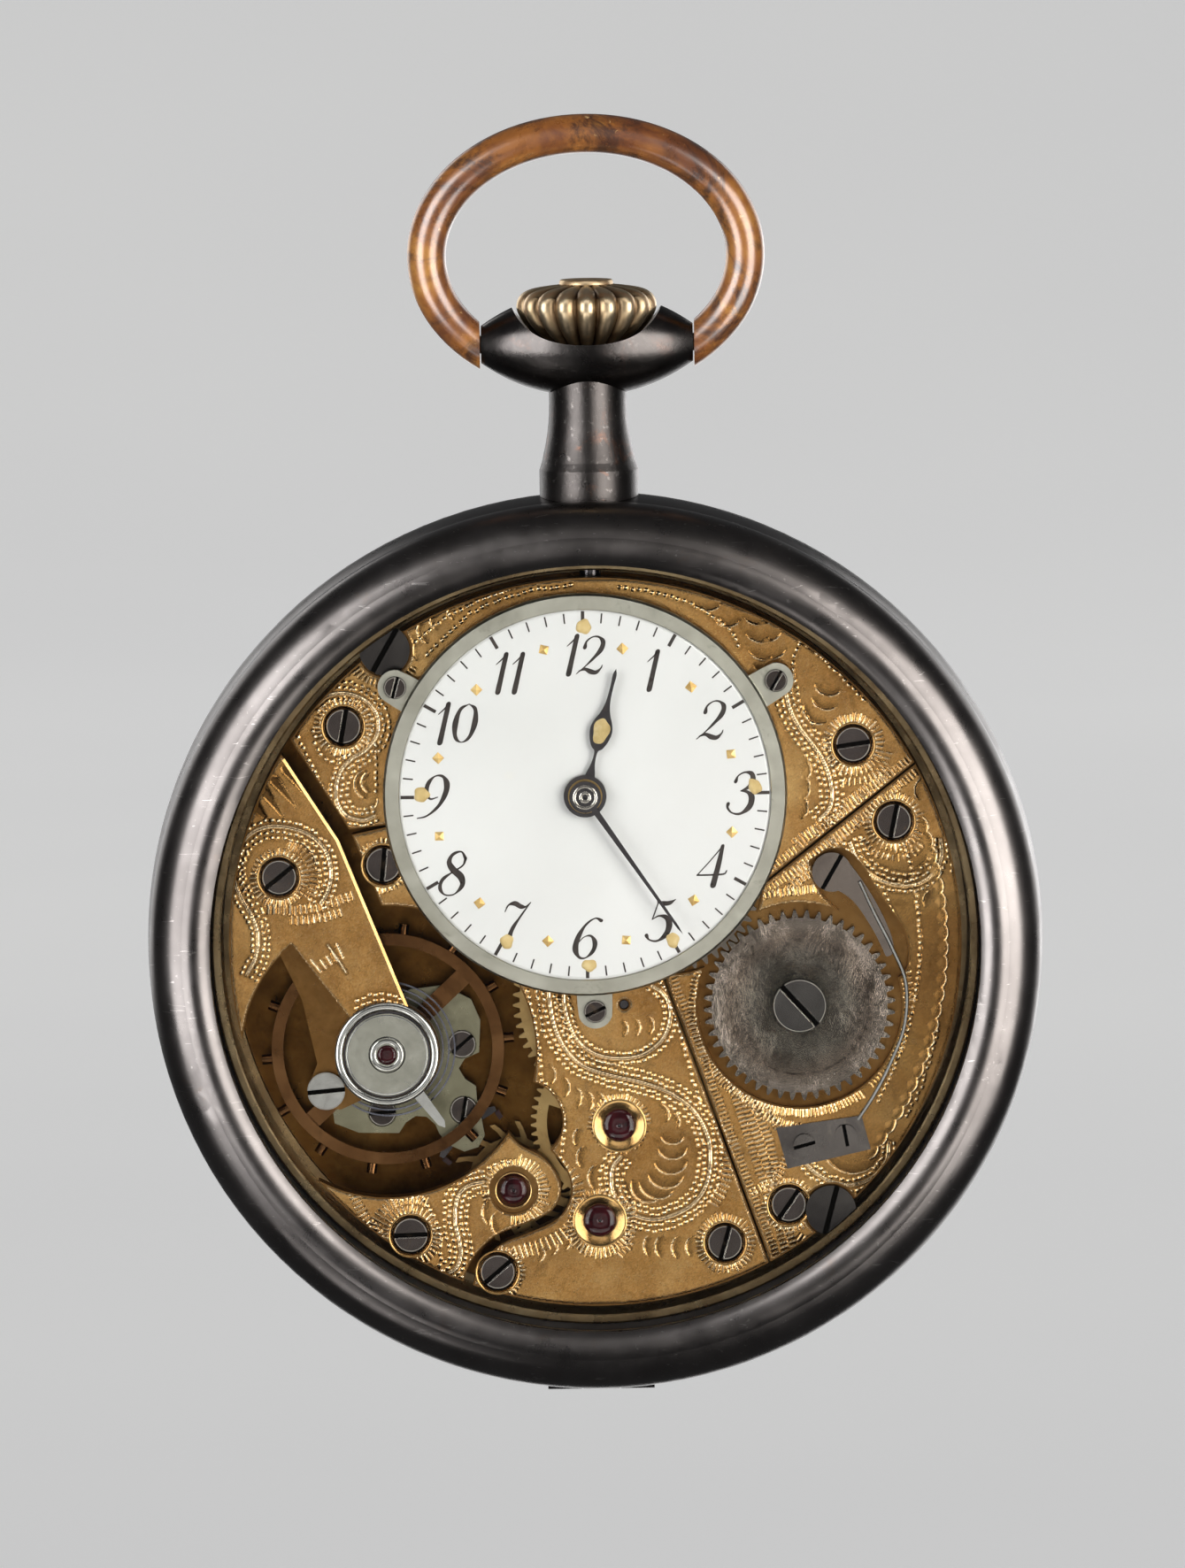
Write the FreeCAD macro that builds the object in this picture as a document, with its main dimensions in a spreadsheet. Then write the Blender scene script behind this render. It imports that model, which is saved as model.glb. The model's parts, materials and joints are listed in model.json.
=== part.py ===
import FreeCAD, Part
import math
import os
import Sketcher
from FreeCAD import Placement, Rotation, Vector

# Open face pocket watch with a visible movement and a small off-centre dial.
# Frame: the origin is the centre of the flat outside of the back. +Z points to the pendant, the
# dial looks along -Y, and +X is to the right of someone reading the dial. Depth is measured from
# the back towards the dial, so a depth of d lies at y = -d. Millimetres throughout.

doc = FreeCAD.newDocument("PocketWatch")
sheet = doc.addObject("Spreadsheet::Sheet", "Dimensions")

# (alias, value, what it is)
DIMENSIONS = [
    ("case_radius", 25.0, "widest radius of the case band"),
    ("band_back", 3.0, "depth of the joint between band and back cover"),
    ("band_front", 8.6, "depth of the joint between band and bezel"),
    ("band_wide", 5.2, "depth where the band is widest"),
    ("case_bore", 21.4, "radius inside the band"),
    ("bezel_opening", 21.35, "radius of the bezel's opening"),
    ("bezel_front", 11.85, "depth of the bezel's highest point"),
    ("bezel_radius", 24.74, "outer radius of the bezel"),
    ("crystal_radius", 21.85, "radius of the glass"),
    ("crystal_top", 12.5, "depth of the middle of the glass, outside"),
    ("back_flat", 17.0, "radius of the flat part of the back"),
    ("back_thick", 0.55, "thickness of the back cover"),
    ("hinge_z", -25.2, "height of the back cover's hinge axis"),
    ("hinge_pin", 0.28, "radius of the hinge pin"),
    ("hinge_knuckle", 0.65, "radius of the hinge knuckles"),
    ("stem_depth", 5.8, "depth of the winding stem's axis"),
    ("neck_radius", 2.16, "radius of the neck under the head"),
    ("neck_foot", 2.5, "radius of the neck above its collar"),
    ("collar_radius", 2.75, "radius of the collar on the band"),
    ("head_half", 5.88, "half the width of the pendant's head"),
    ("bow_pivot_z", 33.3, "height of the bow's axis"),
    ("bow_centre_z", 38.2, "height of the middle of the bow"),
    ("bow_half_wide", 8.85, "half width of the bow, along its wire's centre"),
    ("bow_half_tall", 6.75, "half height of the bow, along its wire's centre"),
    ("bow_wire", 1.08, "radius of the bow's wire"),
    ("crown_radius", 3.93, "radius of the crown"),
    ("crown_base", 33.35, "height of the crown's underside"),
    ("crown_top", 36.55, "height of the crown's shoulder"),
    ("stem_radius", 0.62, "radius of the winding stem"),
    ("plate_radius", 20.4, "radius of plate and bridges"),
    ("plate_back", 2.2, "depth of the main plate's back"),
    ("plate_front", 3.6, "depth of the main plate's front"),
    ("bridge_back", 6.6, "depth of the bridges' underside"),
    ("bridge_front", 7.9, "depth of the bridges' top"),
    ("recess_floor", 7.25, "depth of the floor under the winding wheels"),
    ("ring_outer", 21.35, "outer radius of the movement ring"),
    ("ring_inner", 20.85, "inner radius of the movement ring"),
    ("ring_top", 8.3, "depth of the movement ring's front edge"),
    ("balance_opening", 8.1, "radius of the opening round the balance"),
    ("balance_rim", 6.5, "outer radius of the balance rim"),
    ("balance_rim_in", 5.85, "inner radius of the balance rim"),
    ("balance_back", 5.2, "depth of the balance rim's back"),
    ("balance_front", 5.85, "depth of the balance rim's front"),
    ("dial_radius", 10.4, "radius of the enamel dial"),
    ("dial_back", 9.1, "depth of the dial's back"),
    ("dial_front", 9.8, "depth of the dial's middle"),
    ("dial_ring_outer", 11.2, "outer radius of the dial's ring"),
    ("dial_ring_inner", 10.3, "inner radius of the dial ring's lip"),
    ("screw_shank", 0.55, "radius of a bridge screw's shank"),
    ("screw_bore", 0.6, "radius of a bridge screw's hole"),
    ("screw_head", 0.95, "radius of a bridge screw's head"),
    ("screw_sink", 1.17, "radius of the sink round a bridge screw"),
    ("foot_radius", 1.1, "radius of a bridge's feet"),
    ("jewel_radius", 0.75, "radius of a train jewel"),
    ("jewel_sink", 1.3, "radius of the polished sink round a jewel"),
    ("pivot_radius", 0.12, "radius of a train pivot"),
    ("jewel_bore", 0.18, "radius of a jewel's hole"),
    ("barrel_teeth", 78, "teeth on the barrel"),
    ("centre_pinion_leaves", 12, "leaves on the centre pinion"),
    ("centre_teeth", 64, "teeth on the centre wheel"),
    ("hands_teeth", 64, "teeth on the wheel under the hands"),
    ("third_pinion_leaves", 8, "leaves on the third pinion"),
    ("third_teeth", 60, "teeth on the third wheel"),
    ("fourth_pinion_leaves", 8, "leaves on the fourth pinion"),
    ("fourth_teeth", 70, "teeth on the fourth wheel"),
    ("escape_pinion_leaves", 7, "leaves on the escape pinion"),
    ("escape_teeth", 15, "teeth on the escape wheel"),
    ("escape_tip", 3.46, "tip radius of the escape wheel"),
    ("ratchet_teeth", 48, "teeth on the ratchet wheel"),
    ("transfer_teeth", 46, "teeth on the large winding wheel"),
    ("idler_teeth", 22, "teeth on the small winding wheel"),
    ("crownwheel_teeth", 28, "teeth on the crown wheel"),
    ("cannon_teeth", 12, "leaves on the cannon pinion"),
    ("minute_teeth", 36, "teeth on the minute wheel"),
    ("minute_pinion_leaves", 10, "leaves on the minute wheel's pinion"),
    ("hour_teeth", 40, "teeth on the hour wheel"),
    ("hour_hand_length", 7.27, "reach of the hour hand"),
    ("minute_hand_length", 9.37, "reach of the minute hand"),
    ("hour_hand_angle", 14.5, "degrees clockwise from twelve at rest"),
    ("minute_hand_angle", 145.5, "degrees clockwise from twelve at rest"),
]

# (name, x, z, what stands there), kept under the aliases name_x and name_z
PLACES = [
    ("hands", -0.452, 8.458, "centre of the dial and hands"),
    ("centre", 1.552, -3.474, "centre wheel arbor"),
    ("barrel", 11.331, -3.659, "barrel arbor and ratchet wheel"),
    ("third", 1.197, -10.269, "third wheel arbor"),
    ("fourth", 0.042, -15.604, "fourth wheel arbor"),
    ("escape", -4.755, -13.836, "escape wheel arbor"),
    ("pallet", -7.413, -10.848, "pallet arbor"),
    ("balance", -11.687, -6.038, "balance staff"),
    ("crownwheel", 0.0, 14.0, "crown wheel"),
    ("idler", 4.2421, 10.7163, "small winding wheel"),
    ("transfer", 4.1488, 3.4212, "large winding wheel"),
    ("minute", -4.052, 8.458, "minute wheel post"),
    ("click", 13.206, 3.816, "click pivot"),
    ("lever", -3.2, 18.9, "setting lever pivot"),
]
for name, x, z, note in PLACES:
    DIMENSIONS += [(name + "_x", x, note), (name + "_z", z, note)]


class Dim:
    """A number together with the spreadsheet expression that gives it."""

    def __init__(self, value, text):
        self.value = float(value)
        self.text = text

    def __add__(self, other):
        other = dim(other)
        return Dim(self.value + other.value, "(" + self.text + " + " + other.text + ")")

    def __sub__(self, other):
        other = dim(other)
        return Dim(self.value - other.value, "(" + self.text + " - " + other.text + ")")

    def __mul__(self, other):
        other = dim(other)
        return Dim(self.value * other.value, "(" + self.text + " * " + other.text + ")")

    def __neg__(self):
        return Dim(-self.value, "(0 - " + self.text + ")")


def dim(value):
    return value if isinstance(value, Dim) else Dim(value, repr(float(value)))


def num(value):
    return value.value if isinstance(value, Dim) else float(value)


class Sizes:
    """Holds every spreadsheet dimension under its alias."""


dims = Sizes()
sheet.set("A1", "what it is")
sheet.set("B1", "value")
for row, (alias, value, note) in enumerate(DIMENSIONS, start=2):
    sheet.set("A%d" % row, note)
    sheet.set("B%d" % row, str(value))
    sheet.setAlias("B%d" % row, alias)
    setattr(dims, alias, Dim(value, "Dimensions." + alias))
doc.recompute()

HANDS = (dims.hands_x, dims.hands_z)
CENTRE = (dims.centre_x, dims.centre_z)
BARREL = (dims.barrel_x, dims.barrel_z)
THIRD = (dims.third_x, dims.third_z)
FOURTH = (dims.fourth_x, dims.fourth_z)
ESCAPE = (dims.escape_x, dims.escape_z)
PALLET = (dims.pallet_x, dims.pallet_z)
BALANCE = (dims.balance_x, dims.balance_z)
CROWNWHEEL = (dims.crownwheel_x, dims.crownwheel_z)
IDLER = (dims.idler_x, dims.idler_z)
TRANSFER = (dims.transfer_x, dims.transfer_z)
MINUTE = (dims.minute_x, dims.minute_z)
CLICK = (dims.click_x, dims.click_z)
LEVER = (dims.lever_x, dims.lever_z)

# Axes seen end on: the stem's on the XY plane, the hinge's and the bow's on the YZ plane
STEM = (0, -dims.stem_depth)
HINGE = (-dims.band_back, dims.hinge_z)
BOW_AXIS = (-dims.stem_depth, dims.bow_pivot_z)

# Screws as (x, z, slot angle in degrees), the bridges' own first
BRIDGE_SCREWS = {
    "upper": [(-13.831, 12.296, 80), (14.485, 10.899, 8)],
    "barrel": [(16.695, 6.568, 78), (10.594, -14.851, 55)],
    "train": [(-11.739, 4.515, 84), (7.014, -16.962, 74), (-5.706, -18.441, 40)],
    "escape": [(-10.535, -16.29, 2)],
    "cock": [(-17.549, 3.906, 38)],
}
ALL_BRIDGE_SCREWS = [screw for group in BRIDGE_SCREWS.values() for screw in group]
TAB_SCREWS = [(-10.898, 14.555, 75), (10.207, 14.66, 60), (-0.051, -3.66, 25)]
CASE_SCREWS = [(-11.471, 16.524, 60), (12.94, -15.184, 75)]
PLATFORM_SCREWS = [(-12.076, -9.719, 5), (-7.546, -5.926, 40), (-7.5, -9.65, 80)]
WHEEL_SCREWS = [CROWNWHEEL + (20,), IDLER + (70,), TRANSFER + (110,)]
SPRING_SCREWS = [(11.5, -11.45, 15), (13.8, -10.95, 100)]
STUD = (-15.116, -8.09)

# ---- bodies and sketches -------------------------------------------------------------------------
nodes = []


def new_body(label, at=None, several=False):
    """A body for one node, moved to a place from the sheet if one is given."""
    body = doc.addObject("PartDesign::Body", "Body_" + label)
    body.Label = label
    if several:
        body.AllowCompound = True
    if at is not None:
        body.Placement = Placement(Vector(num(at[0]), 0, num(at[1])), Rotation())
        body.setExpression("Placement.Base.x", at[0].text)
        body.setExpression("Placement.Base.z", at[1].text)
    nodes.append(body)
    return body


def new_sketch(body, role, offset=None):
    """A sketch on one of the body's own origin planes, moved along its normal."""
    sketch = body.newObject("Sketcher::SketchObject", body.Name + "_Sketch")
    plane = [f for f in body.Origin.OriginFeatures if f.Role == role][0]
    sketch.AttachmentSupport = (plane, [""])
    sketch.MapMode = "FlatFace"
    if offset is not None:
        sketch.AttachmentOffset = Placement(Vector(0, 0, num(offset)), Rotation())
        if isinstance(offset, Dim):
            sketch.setExpression("AttachmentOffset.Base.z", offset.text)
    return sketch


def pin(sketch, geometry, end, x, y):
    """Hold one point of the sketch at (x, y), bound to the sheet where the value comes from it."""
    for kind, axis, value in (("DistanceX", -2, x), ("DistanceY", -1, y)):
        size = num(value)
        if abs(size) < 1e-9:
            sketch.addConstraint(Sketcher.Constraint("PointOnObject", geometry, end, axis))
            continue
        if size > 0:
            made = Sketcher.Constraint(kind, -1, 1, geometry, end, size)
        else:
            made = Sketcher.Constraint(kind, geometry, end, -1, 1, -size)
        index = sketch.addConstraint(made)
        if isinstance(value, Dim):
            held = value if size > 0 else -value
            sketch.setExpression("Constraints[%d]" % index, held.text)


def arc_through(first, middle, last):
    """The arc between first and last by way of middle, always written anticlockwise."""
    area = 2 * (
        first.x * (middle.y - last.y)
        + middle.x * (last.y - first.y)
        + last.x * (first.y - middle.y)
    )
    first_sq, middle_sq, last_sq = (p.x**2 + p.y**2 for p in (first, middle, last))
    centre_x = (
        first_sq * (middle.y - last.y)
        + middle_sq * (last.y - first.y)
        + last_sq * (first.y - middle.y)
    ) / area
    centre_y = (
        first_sq * (last.x - middle.x)
        + middle_sq * (first.x - last.x)
        + last_sq * (middle.x - first.x)
    ) / area
    radius = math.hypot(first.x - centre_x, first.y - centre_y)
    start, via, end = (
        math.atan2(p.y - centre_y, p.x - centre_x) for p in (first, middle, last)
    )
    full = 2 * math.pi
    if (via - start) % full > (end - start) % full:
        start, end = end, start
    circle_shape = Part.Circle(Vector(centre_x, centre_y, 0), Vector(0, 0, 1), radius)
    return Part.ArcOfCircle(circle_shape, start, start + (end - start) % full), radius


def profile(sketch, points):
    """A closed, constrained loop of points.

    Each is (x, y), or (x, y, via_x, via_y) for an arc reaching it by way of the second point.
    """
    count = len(points)
    corners = [Vector(num(p[0]), num(p[1]), 0) for p in points]
    shapes = []
    bends = []
    for i in range(count):
        here, there = corners[i], corners[(i + 1) % count]
        item = points[(i + 1) % count]
        if len(item) == 4:
            arc, radius = arc_through(here, Vector(num(item[2]), num(item[3]), 0), there)
            shapes.append(arc)
            bends.append((i, radius))
        else:
            shapes.append(Part.LineSegment(here, there))
    first = sketch.addGeometry(shapes, False)[0]
    # the sketch's numbers for each side's start and end, in the loop's direction
    ends = []
    for i in range(count):
        shape = sketch.Geometry[first + i]
        to_start = (shape.StartPoint - corners[i]).Length
        forward = to_start < (shape.EndPoint - corners[i]).Length
        ends.append((1, 2) if forward else (2, 1))
    joins = []
    for i in range(count):
        k = (i + 1) % count
        joins.append(
            Sketcher.Constraint("Coincident", first + i, ends[i][1], first + k, ends[k][0])
        )
    for i, radius in bends:
        joins.append(Sketcher.Constraint("Radius", first + i, radius))
    sketch.addConstraint(joins)
    for i in range(count):
        pin(sketch, first + i, ends[i][0], points[i][0], points[i][1])


def circle(radius, at=(0, 0)):
    return (at[0], at[1], radius)


def circles(radius, places):
    return [circle(radius, place) for place in places]


def draw(sketch, loops):
    """Draw circles, given as tuples, and straight-sided outlines, given as lists of points."""
    for loop in loops:
        if isinstance(loop, tuple):
            x, y, radius = loop
            index = sketch.addGeometry(
                Part.Circle(Vector(num(x), num(y), 0), Vector(0, 0, 1), num(radius)), False
            )
            held = sketch.addConstraint(Sketcher.Constraint("Radius", index, num(radius)))
            if isinstance(radius, Dim):
                sketch.setExpression("Constraints[%d]" % held, radius.text)
            pin(sketch, index, 3, x, y)
        else:
            corners = [Vector(num(a), num(b), 0) for a, b in loop]
            following = corners[1:] + corners[:1]
            sketch.addGeometry(
                [Part.LineSegment(a, b) for a, b in zip(corners, following)], False
            )


# ---- features ------------------------------------------------------------------------------------
def push(body, kind, name, sketch, length, backwards=False):
    """A Pad along the sketch's normal, or a Pocket against it."""
    made = body.newObject("PartDesign::" + kind, name)
    made.Profile = sketch
    made.Length = num(length)
    if isinstance(length, Dim):
        made.setExpression("Length", length.text)
    made.Reversed = backwards
    body.Tip = made
    return made


def extrude(body, kind, name, role, offset, loops, length, backwards=False):
    """Draw loops on an origin plane moved by offset, then pad or pocket them."""
    sketch = new_sketch(body, role, offset)
    draw(sketch, loops)
    return push(body, kind, name, sketch, length, backwards)


def pad(body, loops, back, front):
    """Add material from depth back to depth front."""
    extrude(body, "Pad", body.Name + "_Pad", "XZ_Plane", back, loops, dim(front) - back)


def pocket(body, loops, front, back):
    """Cut from depth front towards the case back, down to depth back."""
    extrude(body, "Pocket", body.Name + "_Pocket", "XZ_Plane", front, loops, dim(front) - back)


def spin(body, kind, name, sketch, axis="V_Axis"):
    """A full Revolution or Groove round one of the sketch's axes."""
    made = body.newObject("PartDesign::" + kind, name)
    made.Profile = sketch
    made.ReferenceAxis = (sketch, [axis])
    made.Angle = 360.0
    body.Tip = made


def turn_on_depth(body, points, kind="Revolution", name=None):
    """Turn a profile of (radius, depth) points round the depth axis."""
    sketch = new_sketch(body, "XY_Plane")
    profile(sketch, [tuple(-v if i % 2 else v for i, v in enumerate(p)) for p in points])
    spin(body, kind, name or body.Name + "_Turned", sketch)


def turn_on_stem(body, points, kind="Revolution", name=None):
    """Turn a profile of (radius, height) points round the stem's axis."""
    sketch = new_sketch(body, "XZ_Plane", dims.stem_depth)
    profile(sketch, points)
    spin(body, kind, name or body.Name + "_Turned", sketch)


def turned(label, points, at=None):
    body = new_body(label, at)
    turn_on_depth(body, points)
    return body


# ---- outlines ------------------------------------------------------------------------------------
def rotated(points, angle, at=(0.0, 0.0)):
    """Points turned anticlockwise by an angle in radians, then moved to a place."""
    cos, sin = math.cos(angle), math.sin(angle)
    return [(at[0] + a * cos - b * sin, at[1] + a * sin + b * cos) for a, b in points]


def bar(at, length, width, degrees):
    """A rectangle round a place."""
    a, b = length / 2, width / 2
    corners = [(-a, -b), (a, -b), (a, b), (-a, b)]
    return rotated(corners, math.radians(degrees), (num(at[0]), num(at[1])))


def mirrored(side):
    """The outline whose upper side runs from its root out to its tip."""
    return side + [(a, -b) for a, b in reversed(side[:-1])]


def smooth(points, steps):
    """A Catmull-Rom curve through the points, as short straight steps."""
    out = []
    for i in range(len(points) - 1):
        before = points[max(i - 1, 0)]
        start, end = points[i], points[i + 1]
        after = points[min(i + 2, len(points) - 1)]
        for k in range(steps):
            t = k / steps
            out.append(
                tuple(
                    0.5
                    * (
                        2 * start[a]
                        + (end[a] - before[a]) * t
                        + (2 * before[a] - 5 * start[a] + 4 * end[a] - after[a]) * t * t
                        + (3 * start[a] - before[a] - 3 * end[a] + after[a]) * t**3
                    )
                    for a in (0, 1)
                )
            )
    out.append(tuple(points[-1]))
    return out


def smooth_loop(points, steps):
    """A smooth outline from points whose last repeats the first."""
    return smooth(points, steps)[:-1]


def shifted(points, distance):
    """The line moved sideways, to its left."""
    out = []
    for i, (x, z) in enumerate(points):
        a, b = points[max(i - 1, 0)], points[min(i + 1, len(points) - 1)]
        length = math.hypot(b[0] - a[0], b[1] - a[1])
        out.append(
            (x - (b[1] - a[1]) / length * distance, z + (b[0] - a[0]) / length * distance)
        )
    return out


def dome(top, edge_radius, drop, steps):
    """Points of a shallow dome, from its middle out to edge_radius, where it is lower by drop."""
    return [
        (edge_radius * (i / steps), top - drop * (i / steps) ** 2) for i in range(steps + 1)
    ]


# ---- gears ---------------------------------------------------------------------------------------
# Every pair's module comes from the distance between its two arbors, so that the pitch circles
# touch. Phases are angles in radians at which the middle of a tooth stands.
PRESSURE_ANGLE = math.radians(20)
ADDENDUM = 0.85  # tooth height above the pitch circle, in modules
DEDENDUM = 1.15  # tooth depth below it, in modules
TOOTH_SHARE = 0.37  # part of the pitch that is tooth, less than half for clearance


def heading(start, end):
    return math.atan2(num(end[1]) - num(start[1]), num(end[0]) - num(start[0]))


def mesh(driver, driven, driver_teeth, driven_teeth, driver_phase):
    """The pair's module, and the phase that sets the driven gear's gap against a tooth."""
    distance = math.hypot(num(driver[0]) - num(driven[0]), num(driver[1]) - num(driven[1]))
    teeth, mating = num(driver_teeth), num(driven_teeth)
    line = heading(driver, driven)
    phase = line + math.pi - (driver_phase - line) * teeth / mating + math.pi / mating
    return 2 * distance / (teeth + mating), phase


def gear(teeth, module, phase):
    """An involute outline with thin teeth."""
    count = int(num(teeth))
    pitch = module * count / 2
    base = pitch * math.cos(PRESSURE_ANGLE)
    tip, root = pitch + ADDENDUM * module, pitch - DEDENDUM * module
    base_half = TOOTH_SHARE * math.pi / count + math.tan(PRESSURE_ANGLE) - PRESSURE_ANGLE

    def half_angle(radius):
        if radius <= base:
            return base_half
        angle = math.acos(base / radius)
        return base_half - (math.tan(angle) - angle)

    radii = [root] if root < base else []
    radii += [max(root, base), pitch, (pitch + tip) / 2, tip]
    polar = []
    for i in range(count):
        middle = phase + 2 * math.pi * i / count
        polar += [(r, middle - half_angle(r)) for r in radii]
        polar += [(r, middle + half_angle(r)) for r in reversed(radii)]
    return [(r * math.cos(angle), r * math.sin(angle)) for r, angle in polar]


def spokes(count, inner, outer, width, turn):
    """Openings that leave straight arms in a wheel."""
    openings = []
    for i in range(count):
        start = turn + 2 * math.pi * i / count
        end = start + 2 * math.pi / count
        opening = []
        for radius, backwards in ((inner, False), (outer, True)):
            half = math.asin(width / 2 / radius)
            angles = [start + half + (end - start - 2 * half) * k / 10 for k in range(11)]
            if backwards:
                angles.reverse()
            opening += [(radius * math.cos(a), radius * math.sin(a)) for a in angles]
        openings.append(opening)
    return openings


# winding wheels, from the crown wheel to the ratchet wheel
crownwheel_phase = 0.1
winding_module, idler_phase = mesh(
    CROWNWHEEL, IDLER, dims.crownwheel_teeth, dims.idler_teeth, crownwheel_phase
)
transfer_module, transfer_phase = mesh(
    IDLER, TRANSFER, dims.idler_teeth, dims.transfer_teeth, idler_phase
)
ratchet_module, ratchet_phase = mesh(
    TRANSFER, BARREL, dims.transfer_teeth, dims.ratchet_teeth, transfer_phase
)

# going train; each wheel drives the next arbor's pinion
centre_pinion_phase = 0.0
barrel_module, barrel_phase = mesh(
    CENTRE, BARREL, dims.centre_pinion_leaves, dims.barrel_teeth, centre_pinion_phase
)
centre_phase = 0.03
centre_module, third_pinion_phase = mesh(
    CENTRE, THIRD, dims.centre_teeth, dims.third_pinion_leaves, centre_phase
)
hands_module, hands_phase = mesh(
    CENTRE, HANDS, dims.centre_teeth, dims.hands_teeth, centre_phase
)
third_phase = 0.02
third_module, fourth_pinion_phase = mesh(
    THIRD, FOURTH, dims.third_teeth, dims.fourth_pinion_leaves, third_phase
)
fourth_phase = 0.01
fourth_module, escape_pinion_phase = mesh(
    FOURTH, ESCAPE, dims.fourth_teeth, dims.escape_pinion_leaves, fourth_phase
)

# motion work, from the cannon pinion by way of the minute wheel to the hour wheel
cannon_phase = 0.0
cannon_module, minute_phase = mesh(
    HANDS, MINUTE, dims.cannon_teeth, dims.minute_teeth, cannon_phase
)
minute_pinion_phase = 0.05
hour_module, hour_phase = mesh(
    MINUTE, HANDS, dims.minute_pinion_leaves, dims.hour_teeth, minute_pinion_phase
)

# ---- case ----------------------------------------------------------------------------------------
CASE_KNUCKLE_LENGTH = 1.9
COVER_KNUCKLE_HALF = 1.0
HINGE_PIN_HALF = 2.95

case = new_body("case_middle")
turn_on_depth(
    case,
    [
        (dims.case_bore, 2.45),
        (23.2, 2.45),
        (23.2, dims.band_back),
        (24.1, dims.band_back),
        (dims.case_radius, dims.band_wide, 24.74, 3.9),
        (24.5, dims.band_front, 24.88, 6.9),
        (23.4, dims.band_front),
        (23.4, 7.9),
        (dims.case_bore, 7.9),
    ],
)


def hinge_part(body, prefix, start, length, lug):
    """A lug, outlined as (y, z), and its knuckle, both running along +X from start."""
    knuckle = circle(dims.hinge_knuckle, HINGE)
    extrude(body, "Pad", prefix + "Lug", "YZ_Plane", start, [lug], length)
    extrude(body, "Pad", prefix + "Knuckle", "YZ_Plane", start, [knuckle], length)


# two hinge knuckles at the foot of the band, each on its own lug
CASE_LUG = [(-3.02, -25.85), (-3.02, -24.0), (-3.62, -24.0), (-3.62, -25.2), (-3.5, -25.6)]
for start in (-3.0, 1.1):
    hinge_part(case, "Case", start, CASE_KNUCKLE_LENGTH, CASE_LUG)
pin_hole = circle(dims.hinge_pin + 0.02, HINGE)
extrude(case, "Pocket", "CaseHingeBore", "YZ_Plane", 4.0, [pin_hole], 8.0)
# hole at twelve for the tail of the pendant
extrude(case, "Pocket", "CasePendantBore", "XY_Plane", 26.0, [circle(2.22, STEM)], 8.0)

cover = new_body("rear_cover")
turn_on_depth(
    cover,
    [
        (0, 0),
        (dims.back_flat, 0),
        (22.9, 1.15, 20.3, 0.33),
        (24.5, 2.75, 24.1, 1.95),
        (24.5, 2.95),
        (23.35, 2.95),
        (23.35, 2.5),
        (22.2, 1.75),
        (dims.back_flat - 0.1, dims.back_thick, 19.9, 0.86),
        (0, dims.back_thick),
    ],
)
COVER_LUG = [(-2.95, -24.2), (-2.3, -24.0), (-2.3, -25.2), (-2.5, -25.55), (-2.95, -25.4)]
hinge_part(cover, "Cover", -COVER_KNUCKLE_HALF, 2 * COVER_KNUCKLE_HALF, COVER_LUG)
pin_hole = circle(dims.hinge_pin + 0.05, HINGE)
extrude(cover, "Pocket", "CoverHingeBore", "YZ_Plane", 2.0, [pin_hole], 4.0)

hinge_pin = new_body("cover_hinge_pin")
pin_circle = circle(dims.hinge_pin, HINGE)
extrude(
    hinge_pin, "Pad", "HingePin", "YZ_Plane", -HINGE_PIN_HALF, [pin_circle], 2 * HINGE_PIN_HALF
)

# the groove inside the front edge holds the glass
turned(
    "bezel",
    [
        (dims.bezel_opening, 10.6),
        (22.6, 9.6),
        (22.6, 8.0),
        (23.3, 8.0),
        (23.3, 8.65),
        (24.45, 8.65),
        (dims.bezel_radius, 9.15),
        (22.9, dims.bezel_front - 0.12, 24.28, 10.95),
        (dims.bezel_opening, 11.55, 22.1, dims.bezel_front),
        (dims.bezel_opening, 11.45),
        (21.92, 11.45),
        (21.92, 11.0),
        (dims.bezel_opening, 11.0),
    ],
)

turned(
    "crystal",
    dome(dims.crystal_top - 0.7, dims.crystal_radius - 0.6, 0.72, 12)
    + [(dims.crystal_radius, 11.05), (dims.crystal_radius, 11.4)]
    + dome(dims.crystal_top, dims.crystal_radius - 0.5, 1.06, 12)[::-1],
)

# ---- pendant -------------------------------------------------------------------------------------
STEM_HOLE = 1.0  # radius of the pendant's bore
TAIL_RADIUS = 2.2
TAIL_FOOT = 21.5  # height of the tail's lower end

pendant = new_body("pendant")
turn_on_stem(
    pendant,
    [
        (STEM_HOLE, TAIL_FOOT),
        (TAIL_RADIUS, TAIL_FOOT),
        (TAIL_RADIUS, 24.2),
        (dims.collar_radius, 24.2),
        (dims.collar_radius, 26.3),
        (dims.neck_foot + 0.1, 26.75),
        (dims.neck_foot, 27.2),
        (dims.neck_radius, 30.0, 2.24, 28.6),
        (dims.neck_radius, 31.6),
        (STEM_HOLE, 31.6),
    ],
)
# the head is turned round the bow's axis
sketch = new_sketch(pendant, "XZ_Plane", dims.stem_depth)
sketch.AttachmentOffset = Placement(
    Vector(0, dims.bow_pivot_z.value, dims.stem_depth.value), Rotation()
)
sketch.setExpression("AttachmentOffset.Base.y", dims.bow_pivot_z.text)
profile(
    sketch,
    [
        (-dims.head_half, 0),
        (dims.head_half, 0),
        (dims.head_half, 1.05),
        (-dims.head_half, 1.05, 0, 2.95),
    ],
)
spin(pendant, "Revolution", "PendantHead", sketch, "H_Axis")
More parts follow.
